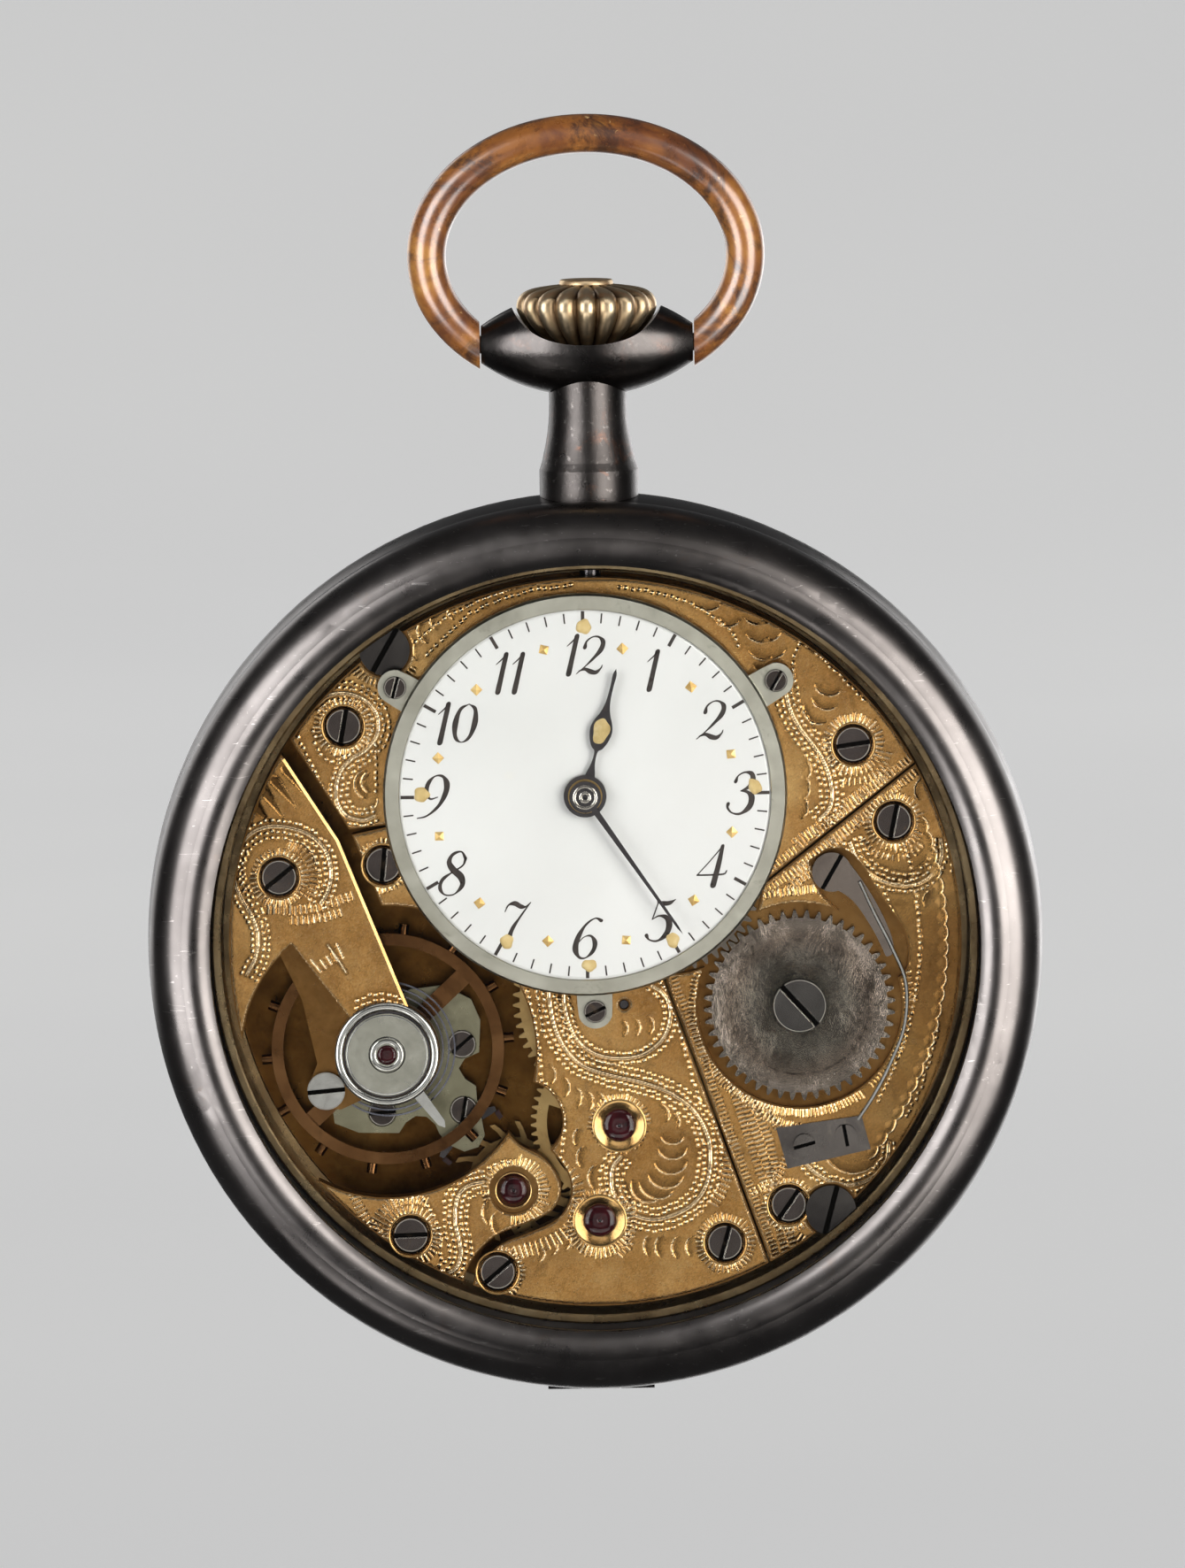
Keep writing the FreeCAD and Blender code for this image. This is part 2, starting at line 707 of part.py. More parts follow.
# the head is hollowed to a cradle that the crown sits in
turn_on_stem(
    pendant,
    [(0, 33.2), (2.35, 33.22), (4.15, 35.1, 3.75, 33.93), (4.15, 37.5), (0, 37.5)],
    "Groove",
    "PendantCradle",
)
extrude(pendant, "Pocket", "PendantBore", "XY_Plane", 36.0, [circle(STEM_HOLE, STEM)], 16.0)
# the collar is fitted to the outside of the band
turn_on_depth(
    pendant,
    [
        (22.6, 2.0),
        (24.12, 2.98),
        (dims.case_radius + 0.02, dims.band_wide, 24.76, 3.9),
        (24.52, dims.band_front, 24.9, 6.9),
        (24.52, 9.4),
        (22.6, 9.4),
    ],
    "Groove",
    "PendantSeat",
)
doc.recompute()
# the groove also cuts the tail, so the tail is put back inside the band's hole
turn_on_stem(
    pendant,
    [(STEM_HOLE, TAIL_FOOT), (TAIL_RADIUS, TAIL_FOOT), (TAIL_RADIUS, 24.9), (STEM_HOLE, 24.9)],
)
# blind sockets for the bow
for side in (-1, 1):
    socket = circle(0.6, BOW_AXIS)
    extrude(
        pendant, "Pocket", "BowSocket", "YZ_Plane", side * 7.0, [socket], 7.0 - 5.2, side < 0
    )

# ---- bow -----------------------------------------------------------------------------------------
BOW_END_DROP = 5.6  # from the bow's middle down to the ends of its wire's centre line
BOW_STEPS = 40

bow = new_body("bow")
path = new_sketch(bow, "XZ_Plane", dims.stem_depth)
start = math.degrees(math.asin(-BOW_END_DROP / dims.bow_half_tall.value))
curve = []
for i in range(BOW_STEPS + 1):
    angle = math.radians(start + (180 - 2 * start) * i / BOW_STEPS)
    curve.append(
        Vector(
            dims.bow_half_wide.value * math.cos(angle),
            dims.bow_centre_z.value + dims.bow_half_tall.value * math.sin(angle),
            0,
        )
    )
spline = Part.BSplineCurve()
spline.interpolate(curve)
path.addGeometry(spline, False)
doc.recompute()
# the wire's section stands square to the first end of the path
section = bow.newObject("Sketcher::SketchObject", "BowSection")
tangent = spline.tangent(spline.FirstParameter)[0]
across = Vector(0, 1, 0)
normal = Vector(tangent.x, 0, tangent.y)
section.Placement = Placement(
    Vector(curve[0].x, -dims.stem_depth.value, curve[0].y),
    Rotation(across, normal.cross(across), normal, "ZXY"),
)
section.addGeometry(Part.Circle(Vector(0, 0, 0), Vector(0, 0, 1), dims.bow_wire.value), False)
held = section.addConstraint(Sketcher.Constraint("Radius", 0, dims.bow_wire.value))
section.setExpression("Constraints[%d]" % held, dims.bow_wire.text)
section.addConstraint(Sketcher.Constraint("Coincident", 0, 3, -1, 1))
pipe = bow.newObject("PartDesign::AdditivePipe", "BowWire")
pipe.Profile = section
pipe.Spine = (path, [])
bow.Tip = pipe
doc.recompute()
# both ends are cut flat, a hair clear of the pendant's head
between_ends = [(-5.95, 30.0), (5.95, 30.0), (5.95, 35.6), (-5.95, 35.6)]
extrude(bow, "Pocket", "BowEnds", "XZ_Plane", dims.stem_depth + 3.0, [between_ends], 6.0)
for side in (-1, 1):
    stub = circle(0.5, BOW_AXIS)
    extrude(bow, "Pad", "BowPivot", "YZ_Plane", side * 5.3, [stub], 1.5, side < 0)

# ---- crown and stem ------------------------------------------------------------------------------
crown = new_body("crown")
turn_on_stem(
    crown,
    [
        (0.66, dims.crown_base - 0.9),
        (0.95, dims.crown_base - 0.9),
        (0.95, dims.crown_base),
        (2.2, dims.crown_base + 0.05),
        (dims.crown_radius, 35.2, 3.45, 34.0),
        (2.9, dims.crown_top, 3.72, 36.12),
        (1.45, dims.crown_top + 0.05),
        (1.3, dims.crown_top + 0.3),
        (0, dims.crown_top + 0.33),
        (0, dims.crown_top - 1.5),
        (0.66, dims.crown_top - 1.5),
    ],
)
doc.recompute()
flute_circle = circle(0.52, (dims.crown_radius + 0.16, -dims.stem_depth))
flute = extrude(crown, "Pocket", "CrownFlute", "XY_Plane", 37.6, [flute_circle], 5.0)
doc.recompute()
pattern = crown.newObject("PartDesign::PolarPattern", "CrownFlutes")
pattern.Originals = [flute]
pattern.Occurrences = 18
pattern.Angle = 360.0
# this sketch's vertical axis is the stem's axis
axis_sketch = new_sketch(crown, "XZ_Plane", dims.stem_depth)
axis_sketch.addGeometry(Part.LineSegment(Vector(0, 30, 0), Vector(0, 40, 0)), True)
pattern.Axis = (axis_sketch, ["V_Axis"])
crown.Tip = pattern


def square_on_stem(half):
    """A square round the stem's axis, on the XY plane."""
    depth = dims.stem_depth.value
    return [
        (-half, -depth - half), (half, -depth - half), (half, -depth + half), (-half, -depth + half)
    ]


stem = new_body("winding_stem")
turn_on_stem(
    stem,
    [
        (0, 14.75),
        (0.45, 14.75),
        (dims.stem_radius, 14.95),
        (dims.stem_radius, 18.4),
        (0.36, 18.4),
        (0.36, 19.4),
        (dims.stem_radius, 19.4),
        (dims.stem_radius, dims.crown_top - 1.6),
        (0, dims.crown_top - 1.6),
    ],
)
# the lower part is squared for the sliding clutch
around_square = [circle(1.2, STEM), square_on_stem(0.4)]
extrude(stem, "Pocket", "StemSquare", "XY_Plane", 16.0, around_square, 4.0)

winding_pinion = new_body("winding_pinion")
pinion = rotated(gear(12, winding_module, 0.0), 0.0, (0.0, -dims.stem_depth.value))
extrude(
    winding_pinion, "Pad", "PinionTeeth", "XY_Plane", 16.2, [pinion, circle(0.68, STEM)], 1.0
)

clutch = new_body("sliding_clutch")
clutch_section = [circle(1.2, STEM), square_on_stem(0.46)]
extrude(clutch, "Pad", "ClutchBody", "XY_Plane", 15.25, clutch_section, 0.75)
groove_section = [circle(1.5, STEM), circle(0.85, STEM)]
extrude(clutch, "Pocket", "ClutchGroove", "XY_Plane", 15.78, groove_section, 0.26)

# (x, z) round the lever's pivot
LEVER_OUTLINE = [
    (-0.75, 0.0), (-0.5, 0.65), (0.2, 0.75), (1.4, 0.45), (2.6, 0.32), (3.3, 0.36),
    (3.55, 0.0), (3.3, -0.36), (2.6, -0.32), (1.6, -0.6), (0.9, -1.7), (0.3, -2.0),
    (-0.05, -1.6), (-0.2, -0.75), (-0.6, -0.5), (-0.75, 0.0),
]
lever = new_body("setting_lever", LEVER)
pad(lever, [smooth_loop(LEVER_OUTLINE, 3)], 4.3, 4.75)
pad(lever, [circle(0.17, (3.2, 0))], 4.75, 5.36)
pad(lever, [circle(0.4)], 2.7, 4.3)

# ---- main plate and ring -------------------------------------------------------------------------
main_plate = new_body("main_plate")
pad(main_plate, [circle(dims.plate_radius)], dims.plate_back, dims.plate_front)
holes = [circle(1.05, BARREL)]
holes += circles(0.45, [LEVER, HANDS, CENTRE])
holes += circles(0.47, [THIRD, FOURTH, ESCAPE, PALLET, BALANCE])
holes += circles(dims.screw_bore, ALL_BRIDGE_SCREWS)
holes += circles(0.42, PLATFORM_SCREWS[:2])
pocket(main_plate, holes, dims.plate_front, dims.plate_back)

ring = new_body("movement_ring")
turn_on_depth(
    ring,
    [
        (20.45, 2.6),
        (21.3, 2.6),
        (21.3, 7.85),
        (dims.ring_outer, 7.95),
        (dims.ring_outer, dims.ring_top - 0.08),
        (dims.ring_outer - 0.1, dims.ring_top),
        (dims.ring_inner + 0.1, dims.ring_top),
        (dims.ring_inner, dims.ring_top - 0.08),
        (dims.ring_inner, 3.7),
        (20.45, 3.7),
    ],
)
extrude(ring, "Pocket", "RingStemBore", "XY_Plane", 23.0, [circle(0.9, STEM)], 4.0)

# ---- bridges -------------------------------------------------------------------------------------
# Lines where the bridges meet, as (x, z). Three of them meet at the junction.
JUNCTION_X, JUNCTION_Z = 3.582, -1.35
JUNCTION = (JUNCTION_X, JUNCTION_Z)
UPPER_LINE = [
    (-13.916, 6.196), (-11.308, 6.76), (-9.402, 7.133), (-6.472, 2.091), (0.0, 0.0), JUNCTION,
]
RIGHT_LINE = [JUNCTION, (10.256, 3.857), (17.941, 9.851), (25.6, 15.83)]
LOWER_LINE = [JUNCTION, (4.255, -3.26), (9.547, -18.237), (12.4, -26.3)]
ESCAPE_LINE = smooth(
    [
        (-4.9, -10.2), (-4.2, -11.05), (-2.886, -11.79), (-1.98, -13.0), (-1.857, -14.2),
        (-2.526, -15.262), (-4.01, -15.95), (-5.66, -16.62), (-6.826, -17.753),
        (-7.334, -18.9), (-7.45, -20.0), (-7.5, -22.0),
    ],
    4,
)
GAP = 0.06  # from a line to the bridge on either side
ESCAPE_GAP = 0.28  # the same along the escape cock
FAR = 40.0  # well outside the movement
BEYOND_RIM = 26.0  # a radius outside plate and case screws

# Sinks for the winding wheels, as (radius)
TRANSFER_SINK = circle(5.22, TRANSFER)
WINDING_SINKS = [circle(3.3, CROWNWHEEL), circle(2.65, IDLER), TRANSFER_SINK]


def trim(body, front, back):
    """Cut away whatever reaches past the plate's radius."""
    pocket(body, [circle(dims.plate_radius), circle(BEYOND_RIM)], front, back)


def cut_through(body, loops):
    pocket(body, loops, dims.bridge_front, dims.bridge_back)


def sink(body, loops, floor=dims.recess_floor):
    pocket(body, loops, dims.bridge_front, floor)


def bridge(label, cuts, screw_places):
    """A disc at bridge height cut back by each loop in turn, with feet under its screws."""
    body = new_body(label)
    pad(body, [circle(dims.plate_radius)], dims.bridge_back, dims.bridge_front)
    for cut in cuts:
        cut_through(body, [cut])
    pad(body, circles(dims.foot_radius, screw_places), dims.plate_front, dims.bridge_back)
    trim(body, dims.bridge_front, dims.plate_front)
    pocket(
        body, circles(dims.screw_bore, screw_places), dims.bridge_front, dims.plate_front
    )
    sink(body, circles(dims.screw_sink, screw_places))
    return body


def case_screw_seat(body, place):
    """A sink and a hole for a case screw."""
    sink(body, [circle(1.5, place)], 7.4)
    pocket(body, [circle(0.62, place)], 7.45, dims.bridge_back)


def jewel_seats(body, places):
    """A hole for each jewel and the sink round it."""
    for place in places:
        cut_through(body, [circle(dims.jewel_radius + 0.01, place)])
        sink(body, [circle(dims.jewel_sink, place)], 7.72)


upper = bridge(
    "upper_bridge",
    [
        [(-22.0, 19.9), (-13.6, 6.55)] + shifted(UPPER_LINE, GAP)[1:-1] + [(3.65, -1.2)]
        + shifted(RIGHT_LINE, GAP)[1:] + [(FAR, -FAR), (-FAR, -FAR), (-FAR, 19.9)]
    ],
    BRIDGE_SCREWS["upper"],
)
for wheel_sink in WINDING_SINKS:
    sink(upper, [wheel_sink])
# holes for the hands' arbor, the winding wheels' screws and the minute wheel's post
cut_through(upper, [circle(0.78, HANDS)])
cut_through(upper, circles(0.55, [CROWNWHEEL, IDLER, TRANSFER]) + [circle(0.4, MINUTE)])
# room over the winding pinion
pinion_room = [(-1.7, 12.4), (1.7, 12.4), (1.7, 17.7), (-1.7, 17.7)]
pocket(upper, [pinion_room], 7.27, dims.bridge_back)
case_screw_seat(upper, CASE_SCREWS[0])

train = bridge(
    "train_bridge",
    [
        # above the bridge
        [(-13.916, 6.15)] + shifted(UPPER_LINE, -GAP)[1:-1]
        + [(3.55, -1.45), (3.9, FAR), (-FAR, FAR), (-FAR, 6.15)],
        # to its right
        [(JUNCTION_X - GAP, JUNCTION_Z - GAP)] + shifted(LOWER_LINE, -GAP)[1:]
        + [(FAR, -FAR), (FAR, FAR), (3.5, FAR)],
        # beside the balance cock
        [
            (-22.1, 19.7), (-13.45, 6.25), (-9.62, -3.4), (-11.0, -5.0), (-FAR, -8.0),
            (-FAR, 19.7),
        ],
        # beside the escape cock
        shifted(ESCAPE_LINE, ESCAPE_GAP)
        + [(-7.2, -FAR), (-FAR, -FAR), (-FAR, -6.0), (-11.0, -6.0)],
        circle(dims.balance_opening + 0.2, BALANCE),
        circle(2.3, (-4.25, -9.95)),
    ],
    BRIDGE_SCREWS["train"],
)
jewel_seats(train, [THIRD, FOURTH])
cut_through(train, [circle(0.28, CENTRE)])
sink(train, [TRANSFER_SINK])

# slot that the click's beak lies in, as (x, z)
CLICK_SLOT = [
    (12.0, 4.4), (13.2, 5.1), (14.5, 4.6), (15.9, 2.4), (17.3, 0.2), (17.2, -1.9),
    (15.6, -2.2), (14.5, -0.9), (13.9, 1.2), (12.6, 2.6), (12.0, 4.4),
]
barrel_bridge = bridge(
    "barrel_bridge",
    [
        [(JUNCTION_X + GAP, JUNCTION_Z - 0.1)] + shifted(RIGHT_LINE, -GAP)[1:]
        + [(FAR, FAR), (-FAR, FAR), (-FAR, -1.6), (3.6, -1.6)],
        [(3.65, -1.2)] + shifted(LOWER_LINE, GAP)[1:]
        + [(-FAR, -FAR), (-FAR, 0.0), (3.6, 0.0)],
    ],
    BRIDGE_SCREWS["barrel"],
)
sink(barrel_bridge, [circle(5.72, BARREL)])
sink(barrel_bridge, [TRANSFER_SINK])
pocket(barrel_bridge, [circle(1.3, BARREL)], 7.3, dims.bridge_back)
cut_through(barrel_bridge, [circle(0.42, CLICK)])
sink(barrel_bridge, [smooth_loop(CLICK_SLOT, 4)])
case_screw_seat(barrel_bridge, CASE_SCREWS[1])

escape_cock = bridge(
    "escape_cock",
    [
        shifted(ESCAPE_LINE, -ESCAPE_GAP) + [(FAR, -FAR), (FAR, FAR), (-4.9, FAR)],
        [
            (-FAR, -6.038), (-FAR, FAR), (FAR, FAR), (FAR, -9.9), (-6.0, -9.9),
            (-11.687, -6.038),
        ],
        circle(dims.balance_opening, BALANCE),
    ],
    BRIDGE_SCREWS["escape"],
)
jewel_seats(escape_cock, [ESCAPE])

# The balance cock's arm over the balance, and the thinner wing at its lower left, as (x, z)
COCK_ARM = [
    (-14.22, 5.95), (-10.3, -3.95), (-11.0, -6.2), (-13.9, -3.9), (-18.05, 1.6),
    (-18.3, 4.0), (-16.5, 6.5),
]
COCK_WING = [
    (-18.3, 1.1), (-17.5, 1.6), (-13.6, -3.2), (-12.2, -6.2), (-13.2, -8.7), (-14.3, -9.2),
    (-15.6, -9.1), (-16.2, -8.1), (-15.6, -6.6), (-16.4, -3.0),
]
COCK_BACK = 7.0  # depth of the arm's underside
WING_FRONT = 7.45
COCK_FRONT = 8.05  # depth of the raised disc's top

cock = bridge(
    "balance_cock",
    [
        [
            (-22.9, 19.3), (-17.4, 10.95), (-14.22, 5.95), (-12.0, 0.4), (-12.0, -3.0),
            (FAR, -3.0), (FAR, FAR), (-22.9, FAR),
        ],
        [(-FAR, -6.2), (FAR, -6.2), (FAR, -FAR), (-FAR, -FAR)],
        [(-12.0, -6.3), (-12.0, 1.0), (FAR, 1.0), (FAR, -6.3)],
        circle(dims.balance_opening, BALANCE),
    ],
    BRIDGE_SCREWS["cock"],
)
pad(cock, [COCK_ARM], COCK_BACK, dims.bridge_front)
pad(cock, [COCK_WING], COCK_BACK, WING_FRONT)
# the round end and the raised disc on it
pad(cock, [circle(2.95, BALANCE)], COCK_BACK, dims.bridge_front)
pad(cock, [circle(2.4, BALANCE)], dims.bridge_front, COCK_FRONT)
pocket(cock, [circle(0.5, BALANCE)], COCK_FRONT, COCK_BACK)
pocket(cock, [circle(0.36, STUD)], WING_FRONT, COCK_BACK)
# the arm covers the screw's sink and hole, so they are cut again
sink(cock, circles(dims.screw_sink, BRIDGE_SCREWS["cock"]))
pocket(
    cock, circles(dims.screw_bore, BRIDGE_SCREWS["cock"]), dims.bridge_front, dims.plate_front
)
trim(cock, COCK_FRONT, dims.plate_front)

# (x, z)
PLATFORM_OUTLINE = [
    (-14.9, -9.1), (-14.75, -10.3), (-13.4, -10.85), (-11.15, -10.9), (-10.75, -10.3),
    (-10.2, -9.95), (-9.6, -10.0), (-9.1, -10.45), (-8.9, -10.95), (-8.4, -11.6),
    (-7.5, -12.0), (-6.7, -11.75), (-6.35, -11.1), (-6.5, -10.2), (-6.75, -9.2),
    (-6.8, -8.3), (-7.4, -7.9), (-7.75, -7.3), (-7.4, -6.75), (-6.6, -6.4), (-6.5, -4.6),
    (-7.0, -3.4), (-8.6, -2.6), (-10.4, -2.8), (-12.3, -3.9), (-13.6, -5.6), (-14.5, -7.4),
]
PLATFORM_BACK = 4.62
PLATFORM_FRONT = 4.95

platform = new_body("escapement_platform")
pad(platform, [PLATFORM_OUTLINE], PLATFORM_BACK, PLATFORM_FRONT)
pad(platform, circles(0.85, PLATFORM_SCREWS[:2]), dims.plate_front, PLATFORM_BACK)
pocket(platform, [circle(0.9, BALANCE), circle(0.18, PALLET)], PLATFORM_FRONT, PLATFORM_BACK)
pocket(platform, circles(0.42, PLATFORM_SCREWS), PLATFORM_FRONT, dims.plate_front)
pocket(platform, circles(0.82, PLATFORM_SCREWS), PLATFORM_FRONT, 4.75)


# ---- screws --------------------------------------------------------------------------------------
def screws(body, places, head, seat, top, shank, tip, slot_width, slot_deep):
    """Slotted screws of one size: radii of head and shank, depths of seat, top and tip."""
    pad(body, circles(head, places), seat, top)
    pad(body, circles(shank, places), tip, seat)
    slots = [bar((x, z), 2.4 * num(head), slot_width, angle) for x, z, angle in places]
    pocket(body, slots, top, dim(top) - slot_deep)


screws(
    new_body("bridge_screws", several=True), ALL_BRIDGE_SCREWS,
    head=dims.screw_head, seat=dims.recess_floor + 0.02, top=7.74,
    shank=dims.screw_shank, tip=2.5, slot_width=0.26, slot_deep=0.2,
)
# the case screws' heads are cut off at the ring's inside
case_screws = new_body("case_screws", several=True)
screws(
    case_screws, CASE_SCREWS,
    head=1.4, seat=7.42, top=8.05, shank=0.55, tip=5.4, slot_width=0.3, slot_deep=0.22,
)
pocket(case_screws, [circle(20.8), circle(BEYOND_RIM)], 8.2, 5.3)
# the screws of the platform, the dial ring's tabs and the winding wheels
small_screws = new_body("small_screws", several=True)
screws(
    small_screws, PLATFORM_SCREWS,
    head=0.76, seat=4.77, top=5.0, shank=0.36, tip=4.0, slot_width=0.2, slot_deep=0.1,
)
screws(
    small_screws, TAB_SCREWS,
    head=0.62, seat=9.27, top=9.5, shank=0.28, tip=8.2, slot_width=0.18, slot_deep=0.12,
)
screws(
    small_screws, WHEEL_SCREWS,
    head=1.15, seat=7.87, top=8.1, shank=0.5, tip=6.9, slot_width=0.24, slot_deep=0.12,
)

# ---- winding wheels ------------------------------------------------------------------------------
WINDING_FRONT = 7.8  # depth of the winding wheels' front


def winding_wheel(label, at, teeth, module, phase, bore=0.56):
    body = new_body(label, at)
    pad(body, [gear(teeth, module, phase), circle(bore)], 7.31, WINDING_FRONT)
    return body


winding_wheel(
    "crown_wheel", CROWNWHEEL, dims.crownwheel_teeth, winding_module, crownwheel_phase
)
winding_wheel("winding_wheel_small", IDLER, dims.idler_teeth, winding_module, idler_phase)
winding_wheel(
    "winding_wheel_large", TRANSFER, dims.transfer_teeth, transfer_module, transfer_phase
)
ratchet = winding_wheel(
    "ratchet_wheel", BARREL, dims.ratchet_teeth, ratchet_module, ratchet_phase, 0.62
)
# shallow ring in the ratchet wheel's face
pocket(ratchet, [circle(3.9), circle(1.75)], WINDING_FRONT, 7.68)

ratchet_screw = new_body("ratchet_screw", BARREL)
pad(ratchet_screw, [circle(1.48)], 7.82, 8.12)
pad(ratchet_screw, [circle(0.42)], 6.0, 7.82)
pocket(ratchet_screw, [bar((0, 0), 3.6, 0.3, -48)], 8.12, 7.96)

# ---- barrel and click ----------------------------------------------------------------------------
# hollow at the front for the ratchet screw
turned(
    "barrel_arbor",
    [
        (0, 2.3), (0.95, 2.3), (0.95, 4.1), (1.5, 4.1), (1.5, 5.2), (0.95, 5.2), (0.95, 7.25),
        (0.57, 7.25), (0.57, 7.7), (0.47, 7.7), (0.47, 5.9), (0, 5.9),
    ],
    BARREL,
)

barrel = turned(
    "barrel",
    [(1.02, 3.75), (8.05, 3.75), (8.05, 5.2), (7.6, 5.2), (7.6, 4.0), (1.02, 4.0)],
    BARREL,
)
pad(barrel, [gear(dims.barrel_teeth, barrel_module, barrel_phase), circle(7.8)], 3.8, 4.3)
turned("barrel_cover", [(1.02, 5.25), (8.0, 5.25), (8.0, 5.5), (1.02, 5.5)], BARREL)


def spiral(label, at, start_radius, end_radius, turns, width, back, front):
    """A flat ribbon wound into a spiral."""
    steps = int(turns * 24)
    inner, outer = [], []
    for i in range(steps + 1):
        angle = 2 * math.pi * turns * i / steps
        middle = start_radius + (end_radius - start_radius) * i / steps
        for edge, radius in ((inner, middle - width / 2), (outer, middle + width / 2)):
            edge.append(Vector(radius * math.cos(angle), -back, radius * math.sin(angle)))
    inner_curve, outer_curve = Part.BSplineCurve(), Part.BSplineCurve()
    inner_curve.interpolate(inner)
    outer_curve.interpolate(outer)
    wire = Part.Wire(
        [
            inner_curve.toShape(),
            Part.LineSegment(inner[-1], outer[-1]).toShape(),
            outer_curve.toShape(),
            Part.LineSegment(inner[0], outer[0]).toShape(),
        ]
    )
    ribbon = doc.addObject("Part::Feature", label)
    ribbon.Label = label
    ribbon.Shape = Part.Face(wire).extrude(Vector(0, -(front - back), 0))
    ribbon.Placement = Placement(Vector(num(at[0]), 0, num(at[1])), Rotation())
    nodes.append(ribbon)


spiral(
    "mainspring", BARREL,
    start_radius=1.75, end_radius=7.4, turns=9, width=0.22, back=4.15, front=5.1,
)

# (x, z) round the click's pivot
CLICK_OUTLINE = [
    (-0.95, 0.0), (-0.6, 0.8), (0.3, 0.95), (1.1, 0.3), (2.3, -1.5), (3.2, -3.4), (3.4, -4.5),
    (3.0, -4.8), (2.75, -4.3), (2.2, -3.2), (1.2, -1.7), (0.1, -0.95), (-0.7, -0.7),
    (-0.95, 0.0),
]
click = new_body("click", CLICK)
pad(click, [smooth_loop(CLICK_OUTLINE, 4)], 7.32, 7.8)
pad(click, [circle(1.1)], 7.8, 8.2)
pad(click, [circle(0.38)], 6.7, 7.32)
pocket(click, [bar((0, 0), 2.8, 0.24, 60)], 8.2, 8.05)

# a plate on the barrel bridge, with two slotted screw heads
SPRING_PLATE = [(9.93, -10.5), (14.7, -9.85), (15.2, -11.75), (10.55, -12.78)]
click_spring = new_body("click_spring")
pad(click_spring, [SPRING_PLATE], dims.bridge_front + 0.01, 8.15)
pad(click_spring, circles(0.62, SPRING_SCREWS), 8.15, 8.4)
spring_slots = [bar((x, z), 1.8, 0.2, angle) for x, z, angle in SPRING_SCREWS]
pocket(click_spring, spring_slots, 8.4, 8.27)


# ---- going train ---------------------------------------------------------------------------------
def wheel(label, at, outline, back, front, hub, rim, bore, arm_width=0.7):
    """A wheel with five arms between the radii hub and rim."""
    body = new_body(label, at)
    pad(body, [outline, circle(bore)], back, front)
    pocket(body, spokes(5, hub, rim, arm_width, 0.3), front, back)


def arbor(label, at, points, pinion_outline, back, front):
    """A turned arbor with its pinion."""
    body = turned(label, points, at)
    pad(body, [pinion_outline], back, front)


def between_pivots(middle):
    """An arbor's profile with a pivot at the back and one at the front of its middle part."""
    pivot = dims.pivot_radius
    return (
        [(0, 3.0), (pivot, 3.0), (pivot, 3.7)]
        + middle
        + [(pivot, middle[-1][1]), (pivot, 7.7), (0, 7.7)]
    )


wheel(
    "centre_wheel", CENTRE, gear(dims.centre_teeth, centre_module, centre_phase),
    back=5.75, front=6.0, hub=1.6, rim=5.2, bore=0.56,
)
arbor(
    "centre_arbor",
    CENTRE,
    [
        (0, 2.5), (0.4, 2.5), (0.4, 3.68), (0.62, 3.68), (0.62, 5.73), (0.55, 5.73),
        (0.55, 6.1), (0.4, 6.1), (0.4, 6.5), (0.22, 6.5), (0.22, 7.75), (0, 7.75),
    ],
    gear(dims.centre_pinion_leaves, barrel_module, centre_pinion_phase),
    back=3.75, front=4.4,
)
wheel(
    "third_wheel", THIRD, gear(dims.third_teeth, third_module, third_phase),
    back=6.2, front=6.42, hub=1.2, rim=4.05, bore=0.41, arm_width=0.55,
)
arbor(
    "third_arbor",
    THIRD,
    between_pivots([(0.4, 3.7), (0.4, 6.5)]),
    gear(dims.third_pinion_leaves, centre_module, third_pinion_phase),
    back=5.6, front=6.12,
)
wheel(
    "fourth_wheel", FOURTH, gear(dims.fourth_teeth, fourth_module, fourth_phase),
    back=4.9, front=5.1, hub=1.1, rim=3.95, bore=0.41, arm_width=0.5,
)
arbor(
    "fourth_arbor",
    FOURTH,
    between_pivots([(0.4, 3.7), (0.4, 6.54)]),
    gear(dims.fourth_pinion_leaves, third_module, fourth_pinion_phase),
    back=6.1, front=6.52,
)

# one tooth of the escape wheel, as (radius, angle in radians)
CLUB_TOOTH = [
    (2.55, 0.0), (3.1, 0.13), (3.42, 0.20), (dims.escape_tip.value, 0.285), (3.33, 0.275),
    (2.95, 0.2), (2.55, 0.15),
]
club_teeth = []
for i in range(int(dims.escape_teeth.value)):
    start = 2 * math.pi * i / dims.escape_teeth.value
    club_teeth += [(r * math.cos(start + a), r * math.sin(start + a)) for r, a in CLUB_TOOTH]
escape_wheel = new_body("escape_wheel", ESCAPE)
pad(escape_wheel, [club_teeth, circle(0.41)], 4.2, 4.42)
pocket(escape_wheel, spokes(4, 0.85, 2.15, 0.42, 0.2), 4.42, 4.2)
arbor(
    "escape_arbor",
    ESCAPE,
    between_pivots(
        [(0.32, 3.7), (0.32, 4.1), (0.4, 4.1), (0.4, 4.6), (0.25, 4.6), (0.25, 6.54)]
    ),
    gear(dims.escape_pinion_leaves, fourth_module, escape_pinion_phase),
    back=4.75, front=5.25,
)

